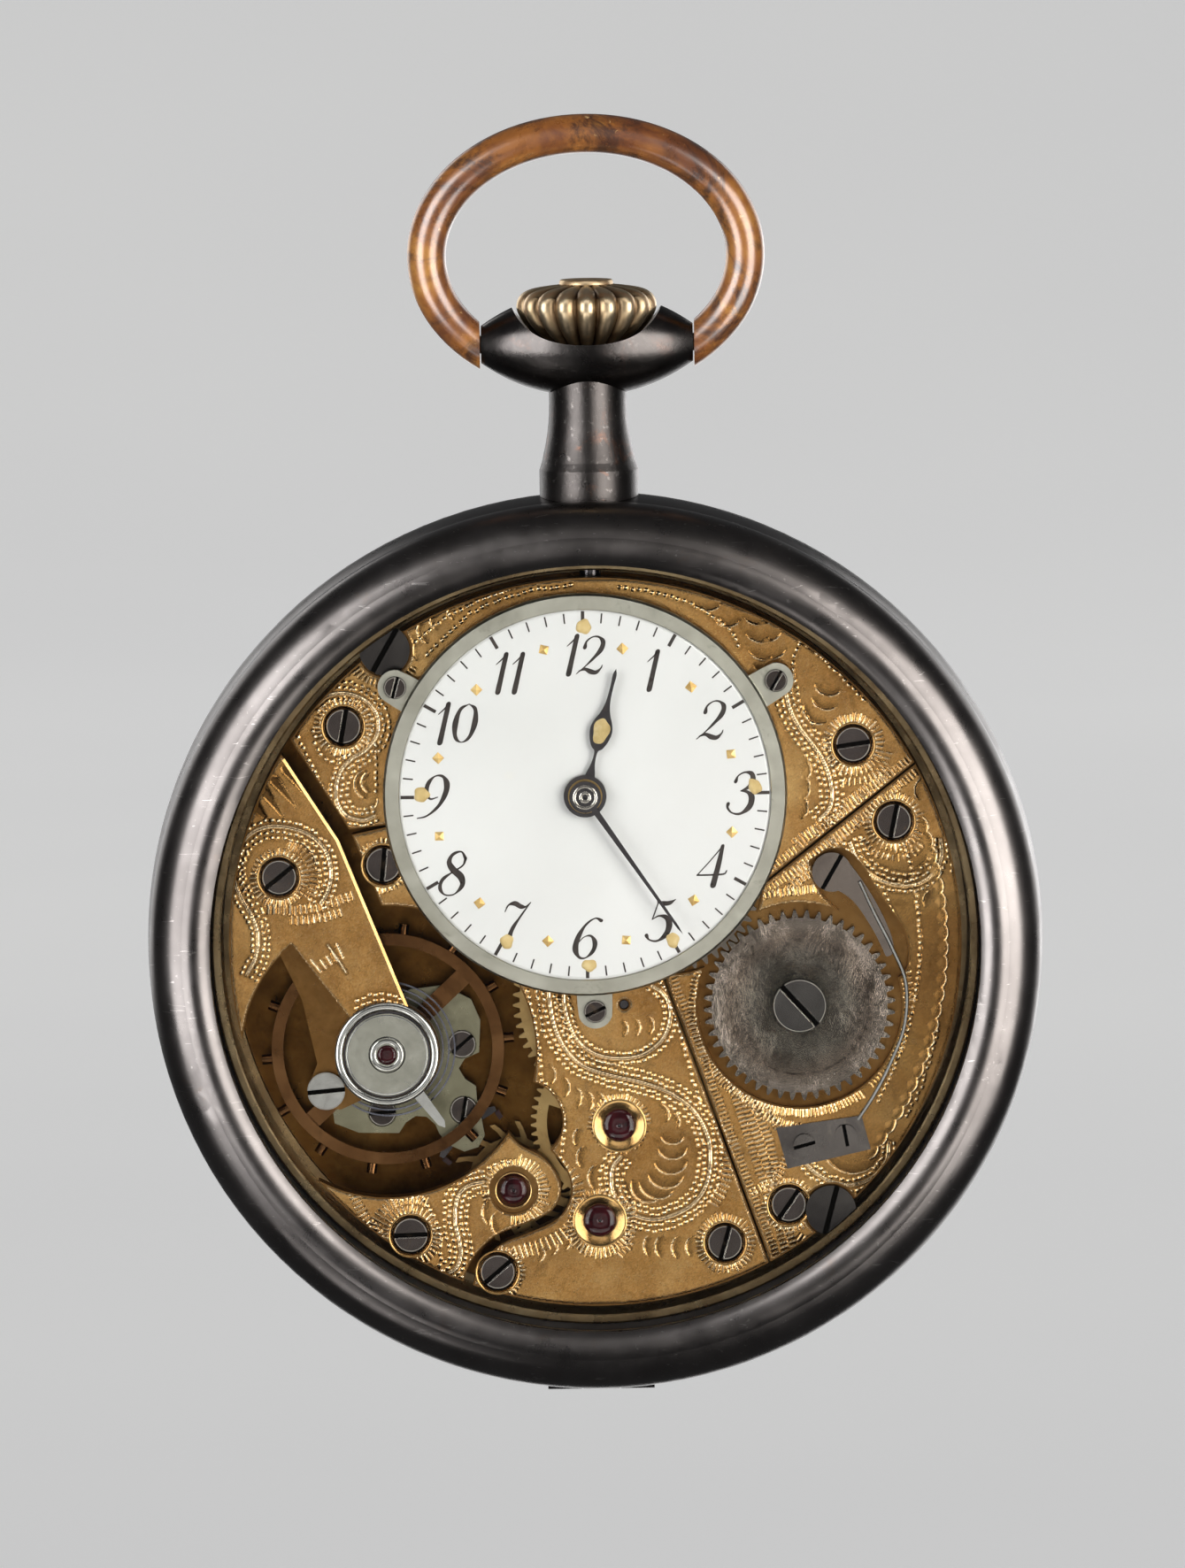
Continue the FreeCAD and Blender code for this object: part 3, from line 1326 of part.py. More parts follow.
# ---- escapement ----------------------------------------------------------------------------------
# Outlines round the pallet arbor as (along, across): the arms and stones lie along the line to
# the escape wheel, the lever along the line to the balance.
PALLET_ARMS = [
    (-0.45, -0.5), (-0.35, -1.4), (0.1, -2.1), (0.35, -2.0), (0.3, -1.6), (0.15, -0.7),
    (0.4, -0.3), (0.4, 0.3), (0.15, 0.7), (0.3, 1.6), (0.35, 2.0), (0.1, 2.1),
    (-0.35, 1.4), (-0.45, 0.5),
]
PALLET_LEVER = [
    (-0.3, -0.25), (3.9, -0.16), (4.1, -0.42), (4.62, -0.5), (4.62, -0.28), (4.25, -0.16),
    (4.25, 0.16), (4.62, 0.28), (4.62, 0.5), (4.1, 0.42), (3.9, 0.16), (-0.3, 0.25),
]
PALLET_STONES = [
    [(0.37, -2.15), (0.85, -2.05), (0.85, -1.78), (0.37, -1.85)],
    [(0.37, 1.85), (0.85, 1.78), (0.85, 2.05), (0.37, 2.15)],
]
to_escape = heading(PALLET, ESCAPE)

pallet_fork = new_body("pallet_fork", PALLET)
pad(pallet_fork, [rotated(PALLET_ARMS, to_escape)], 4.2, 4.45)
pad(pallet_fork, [rotated(PALLET_LEVER, heading(PALLET, BALANCE))], 4.2, 4.45)
# its arbor and pivots, as (radius, back, front)
for radius, back, front in (
    (0.19, 3.75, 4.2),
    (0.19, 4.45, 4.55),
    (dims.pivot_radius, 3.1, 3.75),
    (dims.pivot_radius, 4.55, 4.9),
):
    pad(pallet_fork, [circle(radius)], back, front)

stones = new_body("pallet_stones", PALLET, several=True)
pad(stones, [rotated(stone, to_escape) for stone in PALLET_STONES], 4.16, 4.49)

ARM_DEGREES = 43  # direction of the balance's arm
ARM_FRONT = dims.balance_back + 0.3
balance = new_body("balance_wheel", BALANCE)
pad(
    balance,
    [circle(dims.balance_rim), circle(dims.balance_rim_in)],
    dims.balance_back,
    dims.balance_front,
)
pad(balance, [bar((0, 0), 11.9, 1.0, ARM_DEGREES)], dims.balance_back, ARM_FRONT)
pad(balance, [circle(1.1)], dims.balance_back, ARM_FRONT)
pocket(balance, [circle(0.42)], dims.balance_front, dims.balance_back)

# fourteen screw heads round the rim, each drawn facing outward along its own radius
balance_screws = new_body("balance_screws", BALANCE, several=True)
mid_rim = (dims.balance_back.value + dims.balance_front.value) * 0.5
seat_radius = dims.balance_rim.value + 0.02
for i in range(14):
    angle = math.radians(ARM_DEGREES) + math.radians(12.86 + 25.714 * i)
    sketch = balance_screws.newObject("Sketcher::SketchObject", "BalanceScrewSketch")
    outward = Vector(math.cos(angle), 0, math.sin(angle))
    depth_axis = Vector(0, 1, 0)
    sketch.Placement = Placement(
        Vector(outward.x * seat_radius, -mid_rim, outward.z * seat_radius),
        Rotation(depth_axis.cross(outward), depth_axis, outward, "ZXY"),
    )
    draw(sketch, [circle(0.29)])
    push(balance_screws, "Pad", "BalanceScrew", sketch, 0.55)

turned(
    "balance_staff",
    [
        (0, 3.1), (dims.pivot_radius, 3.1), (dims.pivot_radius, 3.75), (0.3, 3.75),
        (0.3, 4.15), (1.25, 4.15), (1.25, 4.4), (0.4, 4.4), (0.4, 5.18), (0.4, 6.05),
        (0.55, 6.05), (0.55, 6.6), (0.3, 6.6), (0.3, 6.9), (dims.pivot_radius, 6.9),
        (dims.pivot_radius, 7.75), (0, 7.75),
    ],
    BALANCE,
)

spiral(
    "hairspring", BALANCE,
    start_radius=0.8, end_radius=3.95, turns=9.586, width=0.09, back=6.25, front=6.45,
)

# a ring round the cock's raised disc, with a pointed tail
REGULATOR_TAIL = [(2.7, -0.32), (4.9, -0.22), (5.25, 0.0), (4.9, 0.22), (2.7, 0.32)]
regulator = new_body("regulator", BALANCE)
pad(regulator, [circle(2.9), circle(2.47)], 7.96, 8.26)
pad(regulator, [rotated(REGULATOR_TAIL, math.radians(-52.6))], 7.98, 8.2)

cap = new_body("cap_jewel_setting", BALANCE)
pad(cap, [circle(2.3), circle(0.56)], 8.07, 8.45)
pad(cap, [circle(0.95), circle(0.56)], 8.45, 8.55)

stud = new_body("hairspring_stud")
pad(stud, [circle(1.05, STUD)], 7.47, 8.0)
pad(stud, [circle(0.25, STUD)], 6.2, 7.47)
pocket(stud, [bar(STUD, 2.6, 0.26, 5)], 8.0, 7.8)


def pierced(radius, places):
    """Rings round the pivots that run in the jewels."""
    return circles(radius, places) + circles(dims.jewel_bore, places)


jewels = new_body("jewels", several=True)
pad(jewels, pierced(dims.jewel_radius, [THIRD, FOURTH, ESCAPE]), 7.2, 7.68)
pad(jewels, pierced(0.45, [THIRD, FOURTH, ESCAPE, PALLET, BALANCE]), 2.8, 3.4)
pad(jewels, pierced(0.48, [BALANCE]), 7.1, 7.5)
# the balance's cap jewel
pad(jewels, [circle(0.54, BALANCE)], 8.1, 8.5)

# ---- motion work ---------------------------------------------------------------------------------
wheel(
    "hands_wheel", HANDS, gear(dims.hands_teeth, hands_module, hands_phase),
    back=5.75, front=6.0, hub=1.6, rim=5.2, bore=0.61,
)
arbor(
    "minute_arbor",
    HANDS,
    [
        (0, 2.5), (0.4, 2.5), (0.4, 3.68), (0.6, 3.68), (0.6, 6.4), (0.7, 6.4), (0.7, 8.0),
        (0.62, 8.0), (0.62, 10.42), (0.5, 10.42), (0.5, 11.0), (0, 11.05),
    ],
    gear(dims.cannon_teeth, cannon_module, cannon_phase),
    back=8.0, front=8.42,
)

# wheel, pinion and post in one
minute_wheel = new_body("minute_wheel", MINUTE)
pad(minute_wheel, [gear(dims.minute_teeth, cannon_module, minute_phase)], 8.06, 8.28)
minute_pinion = gear(dims.minute_pinion_leaves, hour_module, minute_pinion_phase)
pad(minute_wheel, [minute_pinion], 8.28, 8.86)
pad(minute_wheel, [circle(0.34)], 6.9, 8.06)

# wheel and the pipe that carries the hour hand
hour_wheel = new_body("hour_wheel", HANDS)
pad(hour_wheel, [gear(dims.hour_teeth, hour_module, hour_phase), circle(0.68)], 8.52, 8.8)
pad(hour_wheel, [circle(0.95), circle(0.68)], 8.8, 10.34)


# ---- hands and dial ------------------------------------------------------------------------------
def hand(label, outline, clockwise, back, front, boss, bore, boss_back, boss_front):
    """A hand drawn along +X, turned to its angle, with a bored boss."""
    body = new_body(label, HANDS)
    pad(body, [rotated(outline, math.radians(90 - num(clockwise)))], back, front)
    pad(body, [circle(boss)], boss_back, boss_front)
    pocket(body, [circle(bore)], boss_front, boss_back)


# the hands' upper sides, as (distance from the boss's middle, half width)
hour_reach = dims.hour_hand_length.value
HOUR_SIDE = [
    (0.0, 0.34), (1.0, 0.3), (1.9, 0.1), (2.55, 0.1), (2.75, 0.3), (3.2, 0.52), (3.75, 0.62),
    (4.25, 0.5), (4.75, 0.27), (5.4, 0.12), (6.3, 0.09), (hour_reach - 0.35, 0.11),
    (hour_reach, 0.0),
]
minute_reach = dims.minute_hand_length.value
MINUTE_SIDE = [
    (0.0, 0.2), (1.0, 0.17), (5.0, 0.11), (minute_reach - 0.5, 0.07), (minute_reach, 0.0),
]
hand(
    "hour_hand", mirrored(smooth(HOUR_SIDE, 3)), dims.hour_hand_angle,
    back=10.05, front=10.2, boss=1.18, bore=0.96, boss_back=9.98, boss_front=10.34,
)
hand(
    "minute_hand", mirrored(MINUTE_SIDE), dims.minute_hand_angle,
    back=10.5, front=10.62, boss=0.88, bore=0.51, boss_back=10.46, boss_front=10.86,
)

# the dome's two innermost points are left out, since the middle is bored
turned(
    "dial",
    [(1.05, dims.dial_back), (dims.dial_radius, dims.dial_back), (dims.dial_radius, 9.5)]
    + dome(dims.dial_front, dims.dial_radius - 0.25, 0.22, 10)[:1:-1]
    + [(1.2, dims.dial_front), (1.05, dims.dial_front - 0.08)],
    HANDS,
)

RING_BACK = 8.85
RING_STEP = 9.62  # depth of the lip's underside
RING_FRONT = 9.76
TAB_FRONT = 9.25
TAB_RADIUS = 0.97
dial_seat = dims.dial_radius + 0.05
dial_ring = turned(
    "dial_ring",
    [
        (dial_seat, RING_BACK),
        (dims.dial_ring_outer, RING_BACK),
        (dims.dial_ring_outer, RING_STEP),
        (dims.dial_ring_outer - 0.12, RING_FRONT),
        (dims.dial_ring_inner + 0.05, RING_FRONT),
        (dims.dial_ring_inner, 9.7),
        (dims.dial_ring_inner, RING_STEP),
        (dial_seat, RING_STEP),
    ],
    HANDS,
)
# three round-ended tabs point outward from the ring, each on a post bored for its screw
tab_angles = [math.radians(-70 + 14 * i) for i in range(11)]
tab = [(-1.35, -1.0), (-0.35, -TAB_RADIUS)]
tab += [(math.cos(a) * TAB_RADIUS, math.sin(a) * TAB_RADIUS) for a in tab_angles]
tab += [(-0.35, TAB_RADIUS), (-1.35, 1.0)]
tab_places = [(x - dims.hands_x.value, z - dims.hands_z.value) for x, z, _ in TAB_SCREWS]
for place in tab_places:
    outward_angle = math.atan2(place[1], place[0])
    pad(dial_ring, [rotated(tab, outward_angle, place)], RING_BACK, TAB_FRONT)
pad(dial_ring, circles(0.56, tab_places), dims.bridge_front, RING_BACK)
pocket(dial_ring, circles(0.32, tab_places), TAB_FRONT, dims.bridge_front)
pocket(dial_ring, [circle(dial_seat)], RING_STEP, dims.bridge_front)

# ---- checks and files ----------------------------------------------------------------------------
doc.recompute()
bad = [
    item.Label + " " + str(item.State)
    for item in doc.Objects
    if "Invalid" in item.State or "Error" in item.State
]
if bad:
    raise SystemExit("failed objects: " + "; ".join(bad))
os.makedirs("parts", exist_ok=True)
for node in nodes:
    if node.Shape.isNull() or not node.Shape.isValid():
        raise SystemExit("bad shape: " + node.Label)
    node.Shape.exportStep(os.path.join("parts", node.Label + ".step"))
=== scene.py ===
import json
import math

import bpy
import numpy as np
from mathutils import Matrix, Vector

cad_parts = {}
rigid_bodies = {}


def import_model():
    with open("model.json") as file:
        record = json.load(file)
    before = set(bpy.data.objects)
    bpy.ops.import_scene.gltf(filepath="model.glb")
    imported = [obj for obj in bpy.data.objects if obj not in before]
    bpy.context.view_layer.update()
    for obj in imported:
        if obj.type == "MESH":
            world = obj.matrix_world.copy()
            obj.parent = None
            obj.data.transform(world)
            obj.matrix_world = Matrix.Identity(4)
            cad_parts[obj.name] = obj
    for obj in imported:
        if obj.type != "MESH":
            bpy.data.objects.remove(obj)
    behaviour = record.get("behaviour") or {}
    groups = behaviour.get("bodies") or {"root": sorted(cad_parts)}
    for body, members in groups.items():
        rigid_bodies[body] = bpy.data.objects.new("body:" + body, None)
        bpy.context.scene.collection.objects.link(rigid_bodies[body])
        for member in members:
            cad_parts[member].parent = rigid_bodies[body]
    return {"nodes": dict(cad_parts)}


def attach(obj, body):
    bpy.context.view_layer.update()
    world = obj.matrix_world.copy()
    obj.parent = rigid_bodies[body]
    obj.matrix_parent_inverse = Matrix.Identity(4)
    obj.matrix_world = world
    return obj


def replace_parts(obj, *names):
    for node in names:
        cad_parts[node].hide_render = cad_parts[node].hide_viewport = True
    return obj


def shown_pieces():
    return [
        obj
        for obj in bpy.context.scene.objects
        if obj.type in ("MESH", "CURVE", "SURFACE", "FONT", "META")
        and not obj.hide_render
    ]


for leftover in list(bpy.data.objects):
    bpy.data.objects.remove(leftover, do_unlink=True)

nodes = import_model()["nodes"]
bpy.context.view_layer.update()

MM = 0.001
rng = np.random.default_rng(7)

# ---- places (x, z) -------------------------------------------------------------------------------
HANDS = (-0.452, 8.458)
CENTRE = (1.552, -3.474)
BARREL = (11.331, -3.659)
THIRD = (1.197, -10.269)
FOURTH = (0.042, -15.604)
ESCAPE = (-4.755, -13.836)
BALANCE = (-11.687, -6.038)
CASE_SCREW = (-11.471, 16.524)
# x, z, angle of the slot in degrees, outer radius of the cuts round the recess
BRIDGE_SCREWS = [
    (-13.831, 12.296, 80, 1.62), (14.485, 10.899, 8, 1.7), (16.695, 6.568, 78, 1.62),
    (10.594, -14.851, 55, 1.5), (-11.739, 4.515, 84, 1.45), (7.014, -16.962, 74, 1.65),
    (-5.706, -18.441, 40, 1.5), (-10.535, -16.29, 2, 1.7), (-17.549, 3.906, 38, 1.6),
]
PLATE_FRONT = 7.9  # depth of the bridges' front faces
DIAL_TOP = 9.8  # depth of the dial at its middle

# ---- the engraver's lines ------------------------------------------------------------------------
# Gaps between bridges, right of centre: rising to the right, and falling to the bottom (x, z)
RISING_GAP = [(3.582, -1.35), (10.256, 3.857), (17.941, 9.851), (25.6, 15.83)]
FALLING_GAP = [(3.582, -1.35), (4.255, -3.26), (9.547, -18.237), (12.4, -26.3)]

# Double-cut scrolls with beads on both sides (x, z)
SCROLLS = {
    "train_upper": [
        (-2.22, -1.4), (-1.79, -2.15), (-1.8, -3.14), (-1.57, -4.38), (-1.05, -5.47),
        (-0.07, -6.23), (1.25, -6.49), (2.58, -6.27), (3.63, -5.49), (4.08, -4.46),
        (4.05, -3.47), (3.67, -2.82), (3.08, -2.42)],
    "train_s": [
        (-3.0, -1.14), (-2.72, -2.14), (-2.55, -3.62), (-2.27, -4.86), (-1.69, -6.01),
        (-0.72, -6.91), (0.75, -7.43), (2.46, -7.85), (4.03, -8.46), (5.29, -9.42),
        (6.02, -10.66), (6.24, -11.9), (6.08, -13.38), (5.47, -14.51), (4.48, -15.19),
        (3.09, -15.57), (1.87, -15.25), (1.04, -14.45), (0.71, -13.46), (0.82, -12.57),
        (1.27, -11.98)],
    "escape_s": [
        (-6.42, -13.31), (-7.21, -13.5), (-7.76, -13.93), (-8.01, -14.72), (-8.03, -15.66),
        (-7.84, -16.55), (-7.76, -17.39), (-8.01, -18.13), (-8.61, -18.52)],
    "cock_scroll": [
        (-15.25, 2.39), (-14.8, 3.22), (-14.64, 4.21), (-14.92, 5.35), (-15.69, 6.2),
        (-16.77, 6.66), (-18.0, 6.78), (-18.98, 6.45), (-19.73, 5.71), (-20.09, 4.78),
        (-20.05, 3.79), (-19.67, 2.8), (-19.1, 1.8), (-18.77, 0.66), (-18.93, -0.53),
        (-19.44, -1.51)],
    "upper_left_s": [
        (-15.34, 13.51), (-14.6, 14.05), (-13.56, 14.13), (-12.58, 13.72), (-11.96, 12.92),
        (-11.92, 11.93), (-12.52, 11.05), (-13.37, 10.52), (-13.97, 9.89), (-14.27, 9.0),
        (-14.24, 8.06), (-13.71, 7.31), (-12.83, 7.05), (-12.13, 7.29)],
    "upper_right_s": [
        (10.6, 14.73), (10.78, 13.74), (11.02, 12.85), (11.5, 11.9), (12.17, 11.0),
        (12.75, 10.11), (13.13, 9.11), (13.26, 8.02), (13.06, 7.28), (12.51, 6.7)],
    "barrel_s": [
        (14.21, 5.44), (14.59, 4.54), (15.17, 3.79), (16.05, 3.24), (17.13, 2.97),
        (18.11, 3.11), (18.91, 3.69), (19.32, 4.57), (19.28, 5.56)],
    "barrel_low": [
        (11.26, -12.12), (11.99, -12.97), (13.11, -13.63), (14.34, -13.75), (15.42, -13.27),
        (16.08, -12.39), (16.24, -11.4)],
}
# Sideways offsets of each scroll's outer bead rows, to the left of travel when positive
OUTER_ROWS = {
    "train_s": (-0.62, 0.62), "escape_s": (0.62, -0.62), "upper_right_s": (0.62, -0.62),
    "cock_scroll": (0.62,), "upper_left_s": (0.62,), "barrel_s": (0.62,),
}
# Single rows of beads (x, z)
BEADS = {
    "train_left_1": [(-3.81, -2.62), (-3.49, -4.1), (-3.26, -5.59), (-3.13, -6.83), (-3.09, -7.67)],
    "train_left_2": [(-3.36, -1.88), (-3.14, -3.61), (-2.96, -4.85)],
    "falling_gap": [
        (3.87, -2.33), (4.29, -3.97), (4.71, -5.31), (5.04, -6.7), (5.36, -7.94), (5.79, -9.08)],
    "scallop": [(-2.95, -7.87), (-2.27, -8.72), (-1.89, -9.81), (-1.96, -11.05), (-2.17, -12.03)],
    "escape_col": [(-9.78, -14.3), (-9.25, -15.15), (-8.87, -16.39), (-8.84, -17.63)],
    "escape_top": [(-6.46, -12.71), (-5.72, -12.28), (-4.98, -12.19)],
    "upper_left_edge_1": [
        (-16.49, 12.1), (-15.97, 10.9), (-15.44, 9.76), (-15.06, 8.76), (-14.73, 7.82)],
    "upper_left_edge_2": [(-15.56, 12.08), (-15.23, 10.99), (-14.6, 10.39), (-13.86, 10.63)],
    "upper_left_col": [(-12.08, 11.24), (-12.0, 9.96), (-12.07, 8.62)],
    "upper_dial": [
        (-9.11, 16.25), (-8.01, 17.32), (-6.76, 18.44), (-5.52, 19.06), (-4.29, 19.49),
        (-2.81, 19.82), (-1.08, 19.99)],
    "upper_rim": [(-9.74, 16.9), (-8.24, 18.21), (-7.25, 18.69), (-6.01, 19.27), (-4.28, 19.89)],
    "upper_right_col": [(11.56, 16.55), (11.26, 15.71), (11.19, 14.73)],
    "upper_right_dial": [
        (1.62, 19.9), (3.58, 19.53), (5.3, 19.01), (6.76, 18.15), (7.74, 17.34), (8.22, 16.5)],
    "upper_right_rim": [(11.66, 16.75), (12.64, 15.94), (13.85, 14.69), (15.06, 13.43)],
    "barrel_rim_1": [(19.46, 7.69), (19.88, 6.45), (20.06, 4.96), (19.89, 3.73)],
    "barrel_rim_2": [
        (19.09, -4.82), (18.77, -6.15), (18.31, -7.47), (17.8, -8.85), (17.19, -9.93)],
    "barrel_s2": [(16.14, 2.54), (16.52, 1.65), (16.8, 0.8)],
    "cock_end_1": [(-13.26, -3.03), (-11.98, -2.6), (-10.51, -3.07)],
    "cock_end_2": [(-13.32, -3.42), (-11.98, -3.0), (-10.46, -3.46)],
    "cock_left": [(-19.34, 5.41), (-19.65, 4.28), (-19.42, 3.34)],
}
# Rows of chisel cuts: path (x, z), then where each cut starts and ends to the left, and the pitch
TICKS = {
    "escape_gap_edge": (
        [(-2.67, -12.62), (-1.8, -13.52), (-1.57, -14.61), (-2.03, -15.69), (-3.07, -16.37),
         (-4.4, -16.75), (-5.69, -17.22)], 0.15, 0.85, 0.3),
    "rising_upper_1": (
        [(11.26, 5.48), (13.25, 6.93), (15.24, 8.49), (16.48, 9.46)], -0.25, 0.25, 0.28),
    "rising_upper_2": (
        [(12.49, 5.81), (13.74, 6.78), (14.98, 7.75), (16.22, 8.72)], -0.2, 0.2, 0.28),
    "rising_lower_1": (
        [(10.74, 3.51), (12.48, 4.77), (14.22, 6.23), (15.71, 7.39)], -0.25, 0.25, 0.28),
    "rising_lower_2": ([(10.88, 2.96), (11.97, 3.74), (12.97, 4.56)], -0.2, 0.2, 0.28),
    "ratchet_top": ([(9.35, 2.64), (10.24, 2.72), (12.45, 2.89)], -0.2, 0.2, 0.28),
    "cock_row_1": (
        [(-18.16, 2.18), (-16.34, 2.11), (-14.76, 2.43), (-13.47, 2.86)], -0.22, 0.22, 0.3),
    "cock_row_2": ([(-16.84, 1.52), (-15.36, 1.6), (-14.13, 1.93)], -0.2, 0.2, 0.3),
    "escape_low": ([(-10.22, -17.85), (-8.76, -18.57), (-7.29, -19.18)], -0.2, 0.2, 0.26),
    "escape_rim": ([(-13.85, -13.6), (-13.14, -15.09), (-12.17, -16.34)], -0.2, 0.25, 0.28),
    "train_s_right": (
        [(6.71, -10.08), (7.18, -11.67), (7.06, -13.4), (6.35, -14.72)], -0.25, 0.3, 0.3),
    "train_low": ([(1.36, -16.14), (1.7, -16.78), (1.1, -17.52)], -0.2, 0.2, 0.3),
    "falling_1": (
        [(8.01, -8.47), (8.96, -11.2), (9.81, -13.68), (10.61, -16.41), (11.17, -18.15)],
        -0.2, 0.2, 0.26),
    "falling_2": ([(8.6, -8.72), (9.55, -11.21), (9.92, -13.19)], -0.2, 0.2, 0.26),
    "falling_3": ([(9.28, -9.13), (10.05, -10.47)], -0.2, 0.2, 0.26),
    "falling_0": (
        [(7.43, -7.82), (8.37, -10.94), (9.32, -13.92), (10.16, -16.66), (10.73, -18.44)],
        -0.18, 0.18, 0.26),
    "low_fill_1": (
        [(7.15, -6.97), (8.01, -8.52), (9.37, -9.82), (11.28, -10.54)], -0.2, 0.2, 0.26),
    "low_fill_2": ([(10.78, -11.23), (10.01, -13.19), (8.52, -14.16)], -0.2, 0.2, 0.26),
    "low_fill_3": ([(11.2, -16.67), (12.17, -17.43), (11.67, -17.91)], -0.2, 0.2, 0.26),
    "barrel_click": ([(16.35, 0.07), (17.16, -1.43), (17.53, -3.41)], -0.15, 0.2, 0.3),
}
# Scooped crescents: x, z, radius, start and end angle in degrees
SHELLS = {
    "train_top": [
        (2.46, -4.68, 0.72, -50, 60), (1.77, -4.77, 0.66, -55, 60), (1.13, -4.81, 0.6, -55, 60)],
    "train_left": [
        (-3.09, -7.37, 0.75, -50, 60), (-2.36, -8.08, 0.8, -50, 60), (-1.68, -8.68, 0.8, -50, 60),
        (-1.0, -8.89, 0.75, -50, 60), (-0.36, -8.89, 0.7, -50, 60)],
    "train_mid": [
        (-0.63, -10.97, 0.75, 110, 220), (-0.4, -12.06, 0.8, 110, 230),
        (0.27, -13.16, 0.85, 110, 240)],
    "train_fan": [
        (1.44, -13.81, 0.75, 150, 300), (2.13, -13.77, 0.9, 150, 310),
        (2.78, -13.59, 1.0, 160, 320), (3.32, -13.3, 1.1, 180, 335),
        (3.77, -12.71, 1.1, 190, 345), (4.03, -12.02, 1.0, 195, 350),
        (4.14, -11.28, 0.9, 195, 350), (4.15, -10.59, 0.75, 195, 345)],
    "train_low_right": [
        (3.27, -17.05, 0.8, 120, 235), (3.96, -17.11, 0.85, 120, 235),
        (4.89, -17.18, 0.85, 120, 235), (5.58, -17.14, 0.75, 120, 235)],
    "train_low_left": [
        (-3.67, -17.35, 0.6, -70, 40), (-2.93, -16.97, 0.6, -70, 40),
        (-2.19, -16.68, 0.6, -70, 40), (-1.11, -16.89, 0.55, -70, 40)],
    "train_side": [(3.27, -9.74, 0.7, -40, 80), (3.96, -10.14, 0.6, -40, 80)],
    "escape": [(-5.61, -15.05, 0.9, 120, 240), (-5.17, -15.65, 0.85, 120, 240)],
    "upper_left": [
        (-12.4, 9.07, 0.85, 100, 260), (-12.25, 9.17, 0.6, 100, 260), (-12.61, 8.19, 0.6, -80, 20)],
    "upper_left_top": [
        (-8.84, 17.63, 0.8, 130, 260), (-9.25, 16.74, 0.95, 130, 250),
        (-8.24, 18.21, 0.7, 120, 250), (-7.35, 18.69, 0.6, 120, 250)],
    "upper_right_top": [
        (9.38, 18.85, 1.2, 210, 330), (9.56, 17.96, 1.3, 210, 335), (9.75, 16.97, 1.3, 210, 335),
        (9.93, 15.88, 1.1, 200, 330), (6.53, 19.39, 0.9, 210, 330), (7.6, 18.48, 0.9, 210, 330)],
    "upper_right_mid": [
        (13.21, 14.55, 0.9, 190, 330), (13.05, 13.76, 0.9, 190, 320),
        (12.64, 12.97, 0.9, 160, 300)],
    "upper_right_in": [
        (11.22, 9.53, 0.85, -50, 50), (11.11, 8.55, 0.9, -55, 50), (10.99, 7.46, 0.9, -55, 50)],
    "barrel_top": [
        (16.78, 6.09, 1.9, 200, 330), (16.78, 5.99, 2.3, 205, 330), (16.78, 5.9, 2.75, 215, 320)],
    "barrel_low": [(14.22, -11.27, 1.3, 190, 350), (14.22, -11.37, 1.75, 190, 350)],
    "barrel_rim": [
        (18.68, 8.29, 0.8, 100, 230), (19.18, 2.01, 0.9, 110, 200), (18.7, -10.94, 0.7, 150, 260)],
    "cock_arc": [(-17.39, 4.25, 1.95, -10, 70)],
}
# Tapering cuts on the balance cock, painted dark as shade within them, from the wide end to the point
# (x, z)
RAYS = [
    ((-17.11, 10.03), (-15.91, 8.48)), ((-17.76, 9.44), (-16.55, 7.85)),
    ((-18.31, 8.81), (-17.25, 7.26)), ((-18.86, 7.98), (-17.99, 6.98)),
    ((-16.67, 10.32), (-15.65, 9.02)),
]
# Cuts standing out round sinks and recesses:
# centre, inner radius, outer radius, pitch, start angle, end angle, tone
FRINGES = [
    (THIRD, 1.42, 1.75, 0.24, 0, 185),
    (THIRD, 1.38, 1.55, 0.26, 185, 360, 0.6),
    (FOURTH, 1.42, 2.05, 0.24, 185, 395),
    (FOURTH, 1.42, 1.75, 0.26, 35, 185, 0.6),
    (ESCAPE, 0.98, 1.3, 0.22),
    (ESCAPE, 1.5, 1.95, 0.24, -100, 80),
    (ESCAPE, 1.5, 1.75, 0.24, 80, 200),
    *[(screw, 1.24, screw[3], 0.25) for screw in BRIDGE_SCREWS],
    (BRIDGE_SCREWS[7], 1.85, 2.35, 0.27, 60, 210),
    (BRIDGE_SCREWS[1], 1.9, 2.2, 0.28, 250, 350),
    (BRIDGE_SCREWS[2], 1.85, 2.15, 0.28, 205, 330),
    (BRIDGE_SCREWS[8], 1.75, 2.2, 0.28, -40, 75, 0.6),
    (BARREL, 5.82, 6.2, 0.2, 195, 305),
    (BARREL, 5.82, 6.15, 0.24, 110, 195, 0.7),
    (BARREL, 5.85, 6.1, 0.26, -50, 20, 0.6),
    (CASE_SCREW, 1.75, 2.1, 0.26, 180, 330, 0.7),
]


# ---- curves in the (x, z) plane ------------------------------------------------------------------
def catmull_rom(points, parts):
    """A round curve through the points, each span cut into equal parts."""
    p = np.array(points, float)
    ext = np.vstack([2 * p[0] - p[1], p, 2 * p[-1] - p[-2]])
    out = []
    for a, b, c, d in zip(ext, ext[1:], ext[2:], ext[3:]):
        for t in np.linspace(0, 1, parts, endpoint=False):
            out.append(0.5 * ((2 * b) + (c - a) * t + (2 * a - 5 * b + 4 * c - d) * t**2
                              + (3 * b - a - 3 * c + d) * t**3))
    out.append(p[-1])
    return np.array(out)


